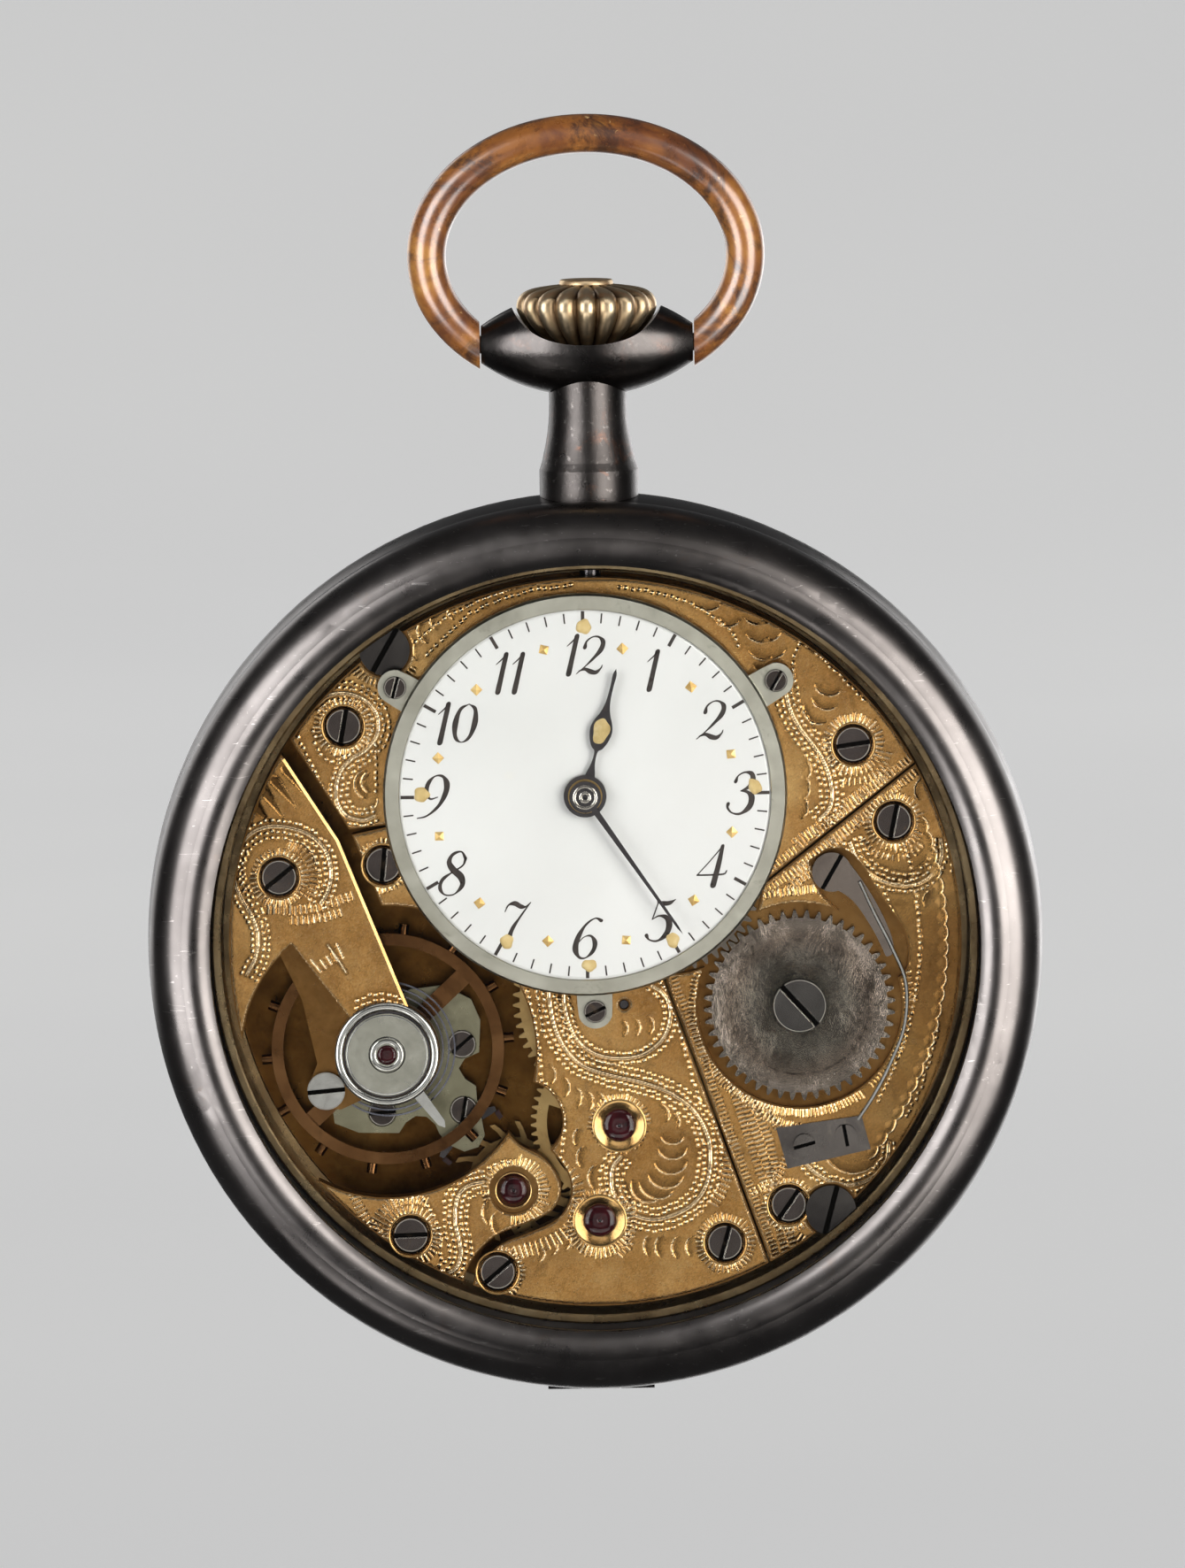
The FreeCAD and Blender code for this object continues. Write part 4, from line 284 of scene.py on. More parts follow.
def evenly(path, step):
    """The path resampled at even distances close to the step."""
    path = np.array(path, float)
    lengths = np.hypot(*(path[1:] - path[:-1]).T)
    run = np.concatenate([[0], np.cumsum(lengths)])
    count = max(2, int(round(run[-1] / step)) + 1)
    at = np.linspace(0, run[-1], count)
    return np.stack([np.interp(at, run, path[:, 0]), np.interp(at, run, path[:, 1])], 1)


def smooth(points, step=0.04):
    return evenly(catmull_rom(points, 24), step)


def tangents(path):
    t = np.gradient(path, axis=0)
    t /= np.maximum(np.hypot(t[:, 0], t[:, 1]), 1e-9)[:, None]
    return t


def side(path, offset):
    """The path moved sideways, to the left of travel when the offset is positive."""
    t = tangents(path)
    return path + offset * np.stack([-t[:, 1], t[:, 0]], 1)


# ---- meshes --------------------------------------------------------------------------------------
def add_mesh(name, verts, faces, finish, body=None, slot=None, smooth_shade=True, tone=None):
    """An object from vertices in metres, riding on a body; the slot is not used."""
    mesh = bpy.data.meshes.new(name)
    mesh.from_pydata(verts, [], faces)
    mesh.update()
    ob = bpy.data.objects.new(name, mesh)
    bpy.context.scene.collection.objects.link(ob)
    mesh.materials.append(MATERIALS[finish])
    if smooth_shade:
        mesh.polygons.foreach_set("use_smooth", [True] * len(mesh.polygons))
    if tone is not None:
        layer = mesh.attributes.new("tone", "FLOAT", "POINT")
        layer.data.foreach_set("value", np.asarray(tone, np.float32))
    if body:
        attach(ob, body)
    return ob


class Shape:
    """A mesh in the making; points are given in mm as x, depth, z."""

    def __init__(self):
        self.verts = []
        self.faces = []

    def point(self, x, depth, z):
        self.verts.append((x * MM, -depth * MM, z * MM))

    def weave(self, start, rows, across, columns):
        """Quads between rows of points; a column joins each point to the next, wrapping round."""
        for row in range(rows - 1):
            first = start + row * across
            for i in columns:
                a, b = first + i, first + (i + 1) % across
                self.faces.append((a, b, b + across, a + across))

    def fan(self, hub, count):
        """Triangles from the hub to the ring of points that follows it."""
        for i in range(count):
            self.faces.append((hub, hub + 1 + i, hub + 1 + (i + 1) % count))

    def rings(self, x, z, profile, count):
        """Rings of points facing front about (x, z); the profile is radius, depth."""
        start = len(self.verts)
        for radius, depth in profile:
            for i in range(count):
                a = 2 * math.pi * i / count
                self.point(x + radius * math.cos(a), depth, z + radius * math.sin(a))
        return start

    def lathe(self, x, z, profile, count=64):
        start = self.rings(x, z, profile, count)
        self.weave(start, len(profile), count, range(count))

    def extrude(self, path, section):
        """Carry a section of (sideways offset, depth) along the path."""
        start = len(self.verts)
        rails = [side(path, offset) for offset, _ in section]
        for station in zip(*rails):
            for (x, z), (_, depth) in zip(station, section):
                self.point(x, depth, z)
        self.weave(start, len(path), len(section), range(len(section) - 1))

    def add(self, name, finish, body, slot, **options):
        return add_mesh(name, self.verts, self.faces, finish, body, slot, **options)


# ---- materials -----------------------------------------------------------------------------------
MATERIALS = {}
MIDDLE = (0.3, 0.7)  # the part of a noise that most of its values fall in


class Finish:
    """A procedural finish, built up from noise in the piece's own space (metres)."""

    SOCKETS = {
        "color": "Base Color", "metal": "Metallic", "rough": "Roughness", "normal": "Normal",
        "coat": "Coat Weight", "coat_rough": "Coat Roughness", "spec": "Specular IOR Level",
    }

    def __init__(self, name):
        MATERIALS[name] = bpy.data.materials.new(name)
        MATERIALS[name].use_nodes = True
        self.tree = MATERIALS[name].node_tree
        self.shader = self.tree.nodes["Principled BSDF"]
        self.space = self.node("ShaderNodeTexCoord").outputs["Object"]

    def node(self, kind, **settings):
        n = self.tree.nodes.new(kind)
        for key, value in settings.items():
            setattr(n, key, value)
        return n

    def put(self, value, socket):
        """Link a socket, or set a number or an RGB colour."""
        if isinstance(value, bpy.types.NodeSocket):
            self.tree.links.new(value, socket)
        else:
            socket.default_value = (*value, 1.0) if isinstance(value, tuple) else value

    def noise(self, scale, detail=4.0, rough=0.55, distort=0.0, stretch=None):
        n = self.node("ShaderNodeTexNoise")
        space = self.space
        if stretch:
            mapping = self.node("ShaderNodeMapping")
            self.put(space, mapping.inputs["Vector"])
            mapping.inputs["Scale"].default_value = stretch
            space = mapping.outputs["Vector"]
        self.put(space, n.inputs["Vector"])
        n.inputs["Scale"].default_value = scale
        n.inputs["Detail"].default_value = detail
        n.inputs["Roughness"].default_value = rough
        n.inputs["Distortion"].default_value = distort
        return n.outputs["Fac"]

    def voronoi(self, scale):
        n = self.node("ShaderNodeTexVoronoi")
        self.put(self.space, n.inputs["Vector"])
        n.inputs["Scale"].default_value = scale
        return n.outputs["Distance"]

    def axes(self):
        n = self.node("ShaderNodeSeparateXYZ")
        self.put(self.space, n.inputs[0])
        return n.outputs

    def ramp(self, value, *stops):
        """Colours along the value; each stop is a position and a colour."""
        n = self.node("ShaderNodeValToRGB")
        self.put(value, n.inputs["Fac"])
        elements = n.color_ramp.elements
        while len(elements) < len(stops):
            elements.new(0.5)
        for element, (position, color) in zip(elements, stops):
            element.position = position
            element.color = (*color, 1.0)
        return n.outputs["Color"]

    def mix(self, amount, under, over):
        n = self.node("ShaderNodeMix", data_type="RGBA")
        self.put(amount, n.inputs[0])
        self.put(under, n.inputs[6])
        self.put(over, n.inputs[7])
        return n.outputs[2]

    def math(self, operation, a, b=0.0, clamp=False):
        n = self.node("ShaderNodeMath", operation=operation, use_clamp=clamp)
        self.put(a, n.inputs[0])
        self.put(b, n.inputs[1])
        return n.outputs[0]

    def times(self, a, b):
        return self.math("MULTIPLY", a, b)

    def span(self, value, source, result):
        """Carry one (low, high) range of the value to another."""
        n = self.node("ShaderNodeMapRange")
        self.put(value, n.inputs["Value"])
        limits = (*source, *result)
        for key, limit in zip(("From Min", "From Max", "To Min", "To Max"), limits):
            n.inputs[key].default_value = limit
        return n.outputs["Result"]

    def patch(self, base, value, band, most, color):
        """Lay a colour over the base, from none to the most as the value crosses the band."""
        return self.mix(self.span(value, band, (0.0, most)), base, color)

    def bump(self, height, strength, distance, normal=None):
        n = self.node("ShaderNodeBump")
        self.put(strength, n.inputs["Strength"])
        n.inputs["Distance"].default_value = distance
        self.put(height, n.inputs["Height"])
        if normal is not None:
            self.put(normal, n.inputs["Normal"])
        return n.outputs["Normal"]

    def set(self, **values):
        for key, value in values.items():
            self.put(value, self.shader.inputs[self.SOCKETS[key]])


def gilt(name, dark, mid, light, rough=(0.24, 0.42), toned=False, grain=0.25, cut=0.4):
    """Gilding; when toned, the tone attribute darkens it as painted shade, lightens it as painted
    glints and (by cut) embosses it.
    """
    f = Finish(name)
    big = f.noise(160, detail=4, rough=0.6, distort=0.4)
    fine = f.noise(2600, detail=5, rough=0.65)
    stain = f.noise(520, detail=6, rough=0.7, distort=0.8)
    base = f.ramp(big, (0.28, dark), (0.52, mid), (0.75, light))
    base = f.patch(base, stain, (0.52, 0.75), 0.6, tuple(c * 0.45 for c in dark))
    base = f.patch(base, fine, (0.35, 0.7), 0.22, light)
    gloss = f.span(f.noise(900, detail=5, rough=0.6), MIDDLE, rough)
    height = f.math("ADD", f.times(fine, 0.7), f.times(f.voronoi(5200), 0.3))
    waves = f.noise(620, detail=3, rough=0.5, distort=0.4)
    normal = f.bump(waves, strength=0.30, distance=0.00005)
    if toned:
        tone = f.node("ShaderNodeAttribute", attribute_name="tone").outputs["Fac"]
        # tone above zero is a painted glint towards pale gold, below zero painted shade towards
        # near-black
        up = f.math("MAXIMUM", tone, 0.0, clamp=True)
        down = f.math("MAXIMUM", f.times(tone, -1.0), 0.0, clamp=True)
        base = f.mix(f.times(f.math("POWER", down, 0.8), 0.96), base, (0.050, 0.019, 0.005))
        base = f.mix(up, base, (1.0, 0.88, 0.64))
        gloss = f.math("SUBTRACT", gloss, f.times(up, 0.06), clamp=True)
        normal = f.bump(tone, cut, 0.00006, normal)
    f.set(color=base, metal=1.0, rough=gloss, normal=f.bump(height, grain, 0.00001, normal))


def steel(name, dark, light, rough, scale, grain=0.12, spots=None, slot=None):
    """Polished or blued steel; spots are a colour and its strength.

    Faces whose depth falls in the slot's band are painted near-black: painted shade on the floors of
    screw slots.
    """
    f = Finish(name)
    mottle = f.noise(scale, detail=5, rough=0.6, distort=0.5)
    base = f.ramp(mottle, (0.3, dark), (0.7, light))
    if slot:
        # painted shade: faces in each depth band go near-black
        depth = f.times(f.axes()["Y"], -1000.0)
        for low, high in slot:
            inside = f.times(f.math("GREATER_THAN", depth, low), f.math("LESS_THAN", depth, high))
            base = f.mix(inside, base, (0.004, 0.0035, 0.003))
    if spots:
        color, most = spots
        blots = f.noise(scale * 2.3, detail=6, rough=0.75, distort=0.6)
        base = f.patch(base, blots, (0.58, 0.72), most, color)
    gloss = f.span(f.noise(scale * 3, detail=5, rough=0.6, distort=0.2), MIDDLE, rough)
    normal = f.bump(f.noise(scale * 7, detail=4, rough=0.6), grain, 0.00001)
    f.set(color=base, metal=1.0, rough=gloss, normal=normal)


def case_steel():
    """Blued steel gone brown-black, satin, with rubbed places and fine scratches."""
    f = Finish("case_steel")
    big = f.noise(70, detail=5, rough=0.6, distort=0.6)
    fine = f.noise(1500, detail=6, rough=0.7)
    base = f.ramp(big, (0.3, (0.085, 0.076, 0.072)), (0.55, (0.125, 0.113, 0.108)),
                  (0.78, (0.17, 0.155, 0.148)))
    specks = f.noise(3400, detail=3, rough=0.6)
    base = f.patch(base, specks, (0.66, 0.76), 0.5, (0.30, 0.28, 0.26))
    scratches = f.noise(900, detail=2, rough=0.4, distort=1.4, stretch=(1.0, 0.3, 6.0))
    base = f.patch(base, scratches, (0.70, 0.74), 0.35, (0.42, 0.39, 0.37))
    wear = f.noise(240, detail=7, rough=0.75, distort=0.9)
    base = f.patch(base, wear, (0.6, 0.74), 0.5, (0.13, 0.095, 0.075))
    gloss = f.span(f.noise(420, detail=6, rough=0.65), MIDDLE, (0.25, 0.36))
    waves = f.times(f.noise(320, detail=5, rough=0.6), 1.0)
    height = f.math("ADD", f.times(fine, 0.5), waves)
    f.set(color=base, metal=1.0, rough=gloss, normal=f.bump(height, 0.12, 0.00002))


def pendant_steel():
    """Dark steel whose rust and specks gather round the foot of the neck."""
    f = Finish("pendant_steel")
    base = f.ramp(f.noise(120, detail=5, rough=0.6, distort=0.5),
                  (0.3, (0.040, 0.036, 0.034)), (0.7, (0.095, 0.086, 0.082)))
    height = f.axes()["Z"]

    def below(top, bottom, least):
        """Rises from the least at the top level to 1 at the bottom one."""
        rise = f.span(height, (top, bottom), (least, 1.0))
        return f.math("MINIMUM", f.math("MAXIMUM", rise, 0.0), 1.0)

    rust = f.span(f.noise(420, detail=7, rough=0.75, distort=0.8), (0.56, 0.68), (0.0, 0.8))
    base = f.mix(f.times(rust, below(0.0300, 0.0262, 0.10)), base, (0.26, 0.105, 0.055))
    specks = f.span(f.noise(2800, detail=3, rough=0.6), (0.60, 0.72), (0.0, 0.55))
    base = f.mix(f.times(specks, below(0.0325, 0.0310, 0.12)), base, (0.34, 0.31, 0.29))
    neck = below(0.0335, 0.0322, 0.0)
    base = f.mix(f.times(neck, 0.5), base, (0.030, 0.026, 0.024))
    gloss = f.span(f.noise(500, detail=6, rough=0.65), MIDDLE, (0.19, 0.30))
    gloss = f.math("ADD", gloss, f.times(neck, 0.06))
    strength = f.span(height, (0.0335, 0.0320), (0.08, 0.45))
    normal = f.bump(f.noise(1500, detail=6, rough=0.75), strength, 0.00005)
    f.set(color=base, metal=1.0, rough=gloss, normal=normal)


def bow_bronze():
    """Browned bronze: amber where it is worn, nearly black in patches, with a lacquer sheen."""
    f = Finish("bow_bronze")
    base = f.ramp(f.noise(150, detail=7, rough=0.68, distort=1.0),
                  (0.30, (0.030, 0.009, 0.004)), (0.43, (0.125, 0.038, 0.010)),
                  (0.56, (0.25, 0.090, 0.016)), (0.76, (0.48, 0.235, 0.048)))
    dark = f.noise(230, detail=8, rough=0.75, distort=1.4)
    base = f.patch(base, dark, (0.50, 0.62), 0.92, (0.040, 0.014, 0.007))
    flecks = f.noise(1500, detail=4, rough=0.7)
    base = f.patch(base, flecks, (0.66, 0.74), 0.7, (0.66, 0.42, 0.18))
    gloss = f.span(f.noise(700, detail=5, rough=0.6), MIDDLE, (0.22, 0.38))
    f.shader.inputs["Coat IOR"].default_value = 1.55
    normal = f.bump(f.noise(1100, detail=6, rough=0.7), 0.22, 0.00003)
    f.set(color=base, metal=0.10, rough=gloss, normal=normal, coat=1.0, coat_rough=0.26)


def crystal_glass():
    """Thin clear glass: what is behind shows through, with a faint sheen and wiped smears."""
    f = Finish("crystal_glass")
    clear = f.node("ShaderNodeBsdfTransparent")
    tint = f.ramp(f.noise(60, detail=3, rough=0.5),
                  (0.3, (0.965, 0.97, 0.962)), (0.7, (0.99, 0.992, 0.985)))
    f.put(tint, clear.inputs["Color"])
    glossy = f.node("ShaderNodeBsdfGlossy")
    glossy.inputs["Roughness"].default_value = 0.06
    waves = f.noise(260, detail=3, rough=0.5, distort=0.6)
    f.put(f.bump(waves, 0.02, 0.00002), glossy.inputs["Normal"])
    fresnel = f.node("ShaderNodeFresnel")
    fresnel.inputs["IOR"].default_value = 1.45
    smears = f.noise(110, detail=6, rough=0.65, distort=1.5)
    smears = f.span(smears, (0.45, 0.8), (0.35, 0.75))
    mixer = f.node("ShaderNodeMixShader")
    f.put(f.math("MULTIPLY", fresnel.outputs[0], smears, clamp=True), mixer.inputs[0])
    f.put(clear.outputs[0], mixer.inputs[1])
    f.put(glossy.outputs[0], mixer.inputs[2])
    f.put(mixer.outputs[0], f.tree.nodes["Material Output"].inputs["Surface"])


def enamel():
    """White enamel with tea-coloured stains and specks of dirt."""
    f = Finish("enamel")
    base = f.ramp(f.noise(90, detail=4, rough=0.5),
                  (0.3, (0.76, 0.75, 0.745)), (0.7, (0.81, 0.805, 0.80)))
    tea = f.noise(330, detail=5, rough=0.6, distort=0.8)
    base = f.patch(base, tea, (0.66, 0.8), 0.28, (0.80, 0.70, 0.50))
    dirt = f.noise(2400, detail=5, rough=0.7)
    base = f.patch(base, dirt, (0.72, 0.80), 0.4, (0.45, 0.38, 0.30))
    gloss = f.span(f.noise(500, detail=4), MIDDLE, (0.10, 0.2))
    normal = f.bump(f.noise(350, detail=3, rough=0.5), 0.03, 0.00003)
    f.set(color=base, metal=0.0, rough=gloss, coat=0.4, coat_rough=0.08, normal=normal)


def plain(name, mottle, stops, gloss_scale, rough, pits=None, **values):
    """A mottled colour with a wandering gloss; pits are noise scale, detail, strength, distance."""
    f = Finish(name)
    base = f.ramp(f.noise(**mottle), *stops)
    gloss = f.span(f.noise(gloss_scale, detail=3), MIDDLE, rough)
    if pits:
        scale, detail, strength, distance = pits
        values["normal"] = f.bump(f.noise(scale, detail=detail), strength, distance)
    f.set(color=base, rough=gloss, **values)


def ratchet_face():
    """Snailed steel with painted reflection and shade: darkest round its screw, with a pale painted
    reflection band inside the teeth.
    """
    f = Finish("ratchet_face")
    place = f.axes()
    dx = f.math("SUBTRACT", f.times(place["X"], 1000.0), BARREL[0])
    dz = f.math("SUBTRACT", f.times(place["Z"], 1000.0), BARREL[1])
    radius = f.math("SQRT", f.math("ADD", f.times(dx, dx), f.times(dz, dz)))
    stray = f.math("SUBTRACT", f.noise(420, detail=6, rough=0.7, distort=0.8), 0.5)
    radius = f.math("ADD", radius, f.times(stray, 1.5))
    # painted reflection and shade by radius: dark round the screw, a pale band inside the teeth,
    # darker again before the teeth
    base = f.ramp(
        f.math("DIVIDE", radius, 6.5),
        (0.24, (0.070, 0.062, 0.052)), (0.42, (0.13, 0.115, 0.098)),
        (0.60, (0.17, 0.135, 0.112)), (0.70, (0.26, 0.215, 0.185)),
        (0.78, (0.20, 0.17, 0.145)), (0.84, (0.11, 0.10, 0.09)), (0.95, (0.24, 0.22, 0.20)))
    blots = f.noise(700, detail=7, rough=0.75, distort=1.2)
    base = f.patch(base, blots, (0.50, 0.66), 0.7, (0.045, 0.036, 0.028))
    rings = f.times(f.math("SINE", f.times(radius, 60.0)), 0.25)
    height = f.math("ADD", rings, f.noise(500, detail=5, rough=0.7))
    gloss = f.span(f.noise(900, detail=5, rough=0.6), MIDDLE, (0.12, 0.28))
    f.set(color=base, metal=1.0, rough=gloss, normal=f.bump(height, 0.35, 0.00004))


case_steel()
pendant_steel()
bow_bronze()
gilt("crown_gilt", (0.42, 0.27, 0.13), (0.66, 0.48, 0.28), (0.86, 0.70, 0.48),
     rough=(0.32, 0.44), toned=True, cut=0.0)
crystal_glass()
# plate_gilt is a darker copy of the gilding for the bridges' walls and recess floors round the
# engraved skins: painted shade
gilt("plate_gilt", (0.15, 0.066, 0.018), (0.25, 0.122, 0.037), (0.38, 0.21, 0.075))
gilt("plate_engraved", (0.38, 0.175, 0.048), (0.60, 0.315, 0.10), (0.82, 0.50, 0.19),
     rough=(0.17, 0.32), toned=True, grain=0.18)
# plate_inner is darker still for the main plate deep under the bridges: painted shade
gilt("plate_inner", (0.075, 0.030, 0.007), (0.145, 0.066, 0.016), (0.24, 0.125, 0.036))
gilt("sink_gilt", (0.42, 0.22, 0.075), (0.62, 0.37, 0.14), (0.78, 0.53, 0.25),
     rough=(0.16, 0.26), grain=0.04)
gilt("wheel_gilt", (0.34, 0.19, 0.07), (0.52, 0.34, 0.14), (0.68, 0.48, 0.22), rough=(0.25, 0.4))
steel("steel_bright", (0.44, 0.43, 0.41), (0.68, 0.67, 0.65), (0.14, 0.26), scale=400, grain=0.08)
steel("steel_dark", (0.060, 0.055, 0.058), (0.12, 0.11, 0.115), (0.14, 0.24), scale=350,
      grain=0.04, spots=((0.18, 0.13, 0.09), 0.25))
# The slot bands below paint shade near-black on the faces in those depth bands, mostly the slots'
# floors.
steel("screw_low", (0.055, 0.045, 0.042), (0.12, 0.100, 0.094), (0.12, 0.22), scale=260,
      grain=0.04, spots=((0.24, 0.17, 0.11), 0.3), slot=[(7.5, 7.705)])
steel("screw_case", (0.045, 0.040, 0.040), (0.10, 0.09, 0.085), (0.14, 0.24), scale=260,
      grain=0.04, spots=((0.18, 0.12, 0.08), 0.3), slot=[(7.79, 8.02)])
steel("screw_small", (0.055, 0.045, 0.042), (0.12, 0.100, 0.094), (0.12, 0.22), scale=260,
      grain=0.04, spots=((0.24, 0.17, 0.11), 0.3),
      slot=[(4.87, 4.975), (9.35, 9.475), (7.95, 8.075)])
steel("screw_ratchet", (0.07, 0.064, 0.062), (0.14, 0.13, 0.125), (0.10, 0.20), scale=240,
      grain=0.03, spots=((0.24, 0.2, 0.16), 0.3), slot=[(7.93, 8.10)])
steel("click_steel", (0.15, 0.12, 0.105), (0.30, 0.25, 0.22), (0.14, 0.26), scale=160,
      grain=0.04, spots=((0.36, 0.29, 0.22), 0.4), slot=[(8.02, 8.18)])
steel("block_steel", (0.12, 0.105, 0.10), (0.27, 0.24, 0.225), (0.16, 0.30), scale=260,
      grain=0.05, spots=((0.34, 0.29, 0.24), 0.5), slot=[(8.24, 8.385)])
steel("stud_steel", (0.36, 0.35, 0.33), (0.60, 0.59, 0.57), (0.12, 0.22), scale=400,
      grain=0.05, spots=((0.2, 0.17, 0.13), 0.4), slot=[(7.74, 7.96)])
steel("edge_steel", (0.34, 0.31, 0.28), (0.56, 0.52, 0.48), (0.12, 0.2), scale=400, grain=0.03)
steel("ratchet_steel", (0.12, 0.102, 0.085), (0.30, 0.26, 0.225), (0.14, 0.26), scale=130,
      grain=0.04, spots=((0.42, 0.36, 0.29), 0.4))
steel("nickel", (0.46, 0.44, 0.37), (0.64, 0.62, 0.54), (0.28, 0.42), scale=350,
      grain=0.2, spots=((0.20, 0.18, 0.13), 0.5))
steel("spring_steel", (0.12, 0.12, 0.15), (0.28, 0.28, 0.33), (0.2, 0.3), scale=500)
gilt("balance_metal", (0.075, 0.032, 0.012), (0.15, 0.068, 0.026), (0.28, 0.14, 0.058),
     rough=(0.16, 0.3))
enamel()
plain("ruby", {"scale": 900, "detail": 4, "rough": 0.6, "distort": 0.5},
      [(0.3, (0.016, 0.002, 0.003)), (0.7, (0.060, 0.007, 0.011))],
      gloss_scale=1200, rough=(0.04, 0.10), metal=0.0, coat=0.25, coat_rough=0.05, spec=0.3)
plain("dial_ink", {"scale": 1500, "detail": 4, "rough": 0.6},
      [(0.3, (0.020, 0.015, 0.013)), (0.75, (0.060, 0.045, 0.040))],
      gloss_scale=2200, rough=(0.25, 0.4), metal=0.0)
plain("dial_lozenge_gilt", {"scale": 1600, "detail": 4, "rough": 0.6},
      [(0.3, (0.48, 0.28, 0.075)), (0.7, (0.80, 0.57, 0.24))],
      gloss_scale=2200, rough=(0.3, 0.45), pits=(4000, 3, 0.4, 0.00002), metal=0.55)
plain("old_lume", {"scale": 1300, "detail": 5, "rough": 0.65},
      [(0.3, (0.50, 0.34, 0.12)), (0.55, (0.68, 0.50, 0.22)), (0.75, (0.80, 0.65, 0.36))],
      gloss_scale=2500, rough=(0.6, 0.8), pits=(5000, 4, 0.5, 0.00004), metal=0.0)
gilt("movement_ring_gilt", (0.15, 0.095, 0.048), (0.34, 0.235, 0.125), (0.58, 0.45, 0.27),
     rough=(0.22, 0.4))
steel("platform_gilt", (0.26, 0.24, 0.16), (0.42, 0.39, 0.27), (0.24, 0.4), scale=420,
      grain=0.2, spots=((0.30, 0.22, 0.10), 0.6))
steel("cap_steel", (0.42, 0.41, 0.35), (0.58, 0.565, 0.50), (0.16, 0.28), scale=500, grain=0.08)
ratchet_face()

# The pieces that take each finish; any other piece is bright steel
FINISH_PIECES = {
    "case_steel": "case_middle rear_cover bezel cover_hinge_pin",
    "pendant_steel": "pendant",
    "bow_bronze": "bow",
    "crown_gilt": "crown",
    "crystal_glass": "crystal",
    "movement_ring_gilt": "movement_ring",
    "plate_gilt": "upper_bridge train_bridge barrel_bridge escape_cock balance_cock",
    "plate_inner": "main_plate",
    "platform_gilt": "escapement_platform",
    "screw_low": "bridge_screws",
    "screw_case": "case_screws",
    "screw_small": "small_screws",
    "screw_ratchet": "ratchet_screw",
    "ratchet_face": "ratchet_wheel",
    "ratchet_steel": "crown_wheel winding_wheel_small winding_wheel_large",
    "click_steel": "click",
    "block_steel": "click_spring",
    "enamel": "dial",
    "nickel": "dial_ring",
    "ruby": "jewels pallet_stones",
    "balance_metal": "balance_wheel balance_screws",
    "spring_steel": "hairspring mainspring",
    "cap_steel": "cap_jewel_setting",
    "stud_steel": "hairspring_stud",
    "wheel_gilt": "barrel barrel_cover centre_wheel third_wheel fourth_wheel hands_wheel "
                  "minute_wheel hour_wheel escape_wheel",
    "steel_dark": "hour_hand minute_hand minute_arbor pallet_fork winding_stem sliding_clutch "
                  "winding_pinion setting_lever escape_arbor third_arbor fourth_arbor "
                  "centre_arbor balance_staff barrel_arbor",
}
finish_of = {piece: finish for finish, names in FINISH_PIECES.items() for piece in names.split()}
for piece, ob in nodes.items():
    ob.data.materials.clear()
    ob.data.materials.append(MATERIALS[finish_of.get(piece, "steel_bright")])

# ---- engraving -----------------------------------------------------------------------------------
# Marks are laid into two fields over the plates: height in mm and tone, -1 dark to 1 bright. The tone
# is painted light and shade: painted glints on beads and cut edges, painted shade in cuts, scoops and
# round beads.
STEP = 0.06
HALF = 21.0
GRID = int(round(2 * HALF / STEP)) + 1
AXIS = np.linspace(-HALF, HALF, GRID)
GRID_X, GRID_Z = np.meshgrid(AXIS, AXIS)
HEIGHT = np.zeros((GRID, GRID))
TONE = np.zeros((GRID, GRID))


def window(x, z, reach):
    """The square patch of the grid around a place, with its offsets from that place."""
    patch = tuple(slice(*np.searchsorted(AXIS, [v - reach, v + reach])) for v in (z, x))
    return patch, GRID_X[patch] - x, GRID_Z[patch] - z


def beads(path, offset=0.0, pitch=0.33, tone=1.0):
    """A row of raised oval beads, each painted bright as a glint, with a ring of painted shade about
    it.
    """
    long, wide, halo = 0.1, 0.075, 1.9
    row = evenly(side(path, offset), pitch)
    for (x, z), (tx, tz) in zip(row, tangents(row)):
        level = tone * rng.uniform(0.6, 1.0)
        x += rng.normal(0, 0.03)
        z += rng.normal(0, 0.03)
        w, dx, dz = window(x, z, 0.36)
        a = dx * tx + dz * tz
        b = -dx * tz + dz * tx
        dome = np.exp(-((a / long) ** 2 + (b / wide) ** 2))
        ring = np.exp(-((a / (long * halo)) ** 2 + (b / (wide * halo)) ** 2))
        bright = np.maximum(TONE[w], -0.45 + (level + 0.45) * np.clip(dome * 1.5, 0, 1))
        TONE[w] = np.where(dome > 0.12, bright, TONE[w] - 0.38 * ring)
        HEIGHT[w] += 0.075 * dome - 0.02 * ring


def groove(path, offset, width, tone, dark):
    """A cut painted bright as a highlight, with painted shade on its banks."""
    near = np.full((GRID, GRID), 9.0, np.float32)
    for x, z in evenly(side(path, offset), STEP * 0.6):
        w, dx, dz = window(x, z, width * 4)
        near[w] = np.minimum(near[w], np.hypot(dx, dz))
    hot = near < width * 4
    distance = near[hot]
    core = np.exp(-((distance / width) ** 2))
    bank = np.exp(-(((distance - 2.0 * width) / width) ** 2))
    banked = TONE[hot] - dark * bank
    TONE[hot] = np.maximum(banked * (1 - core) + core * tone, banked)
    HEIGHT[hot] -= 0.02 * core


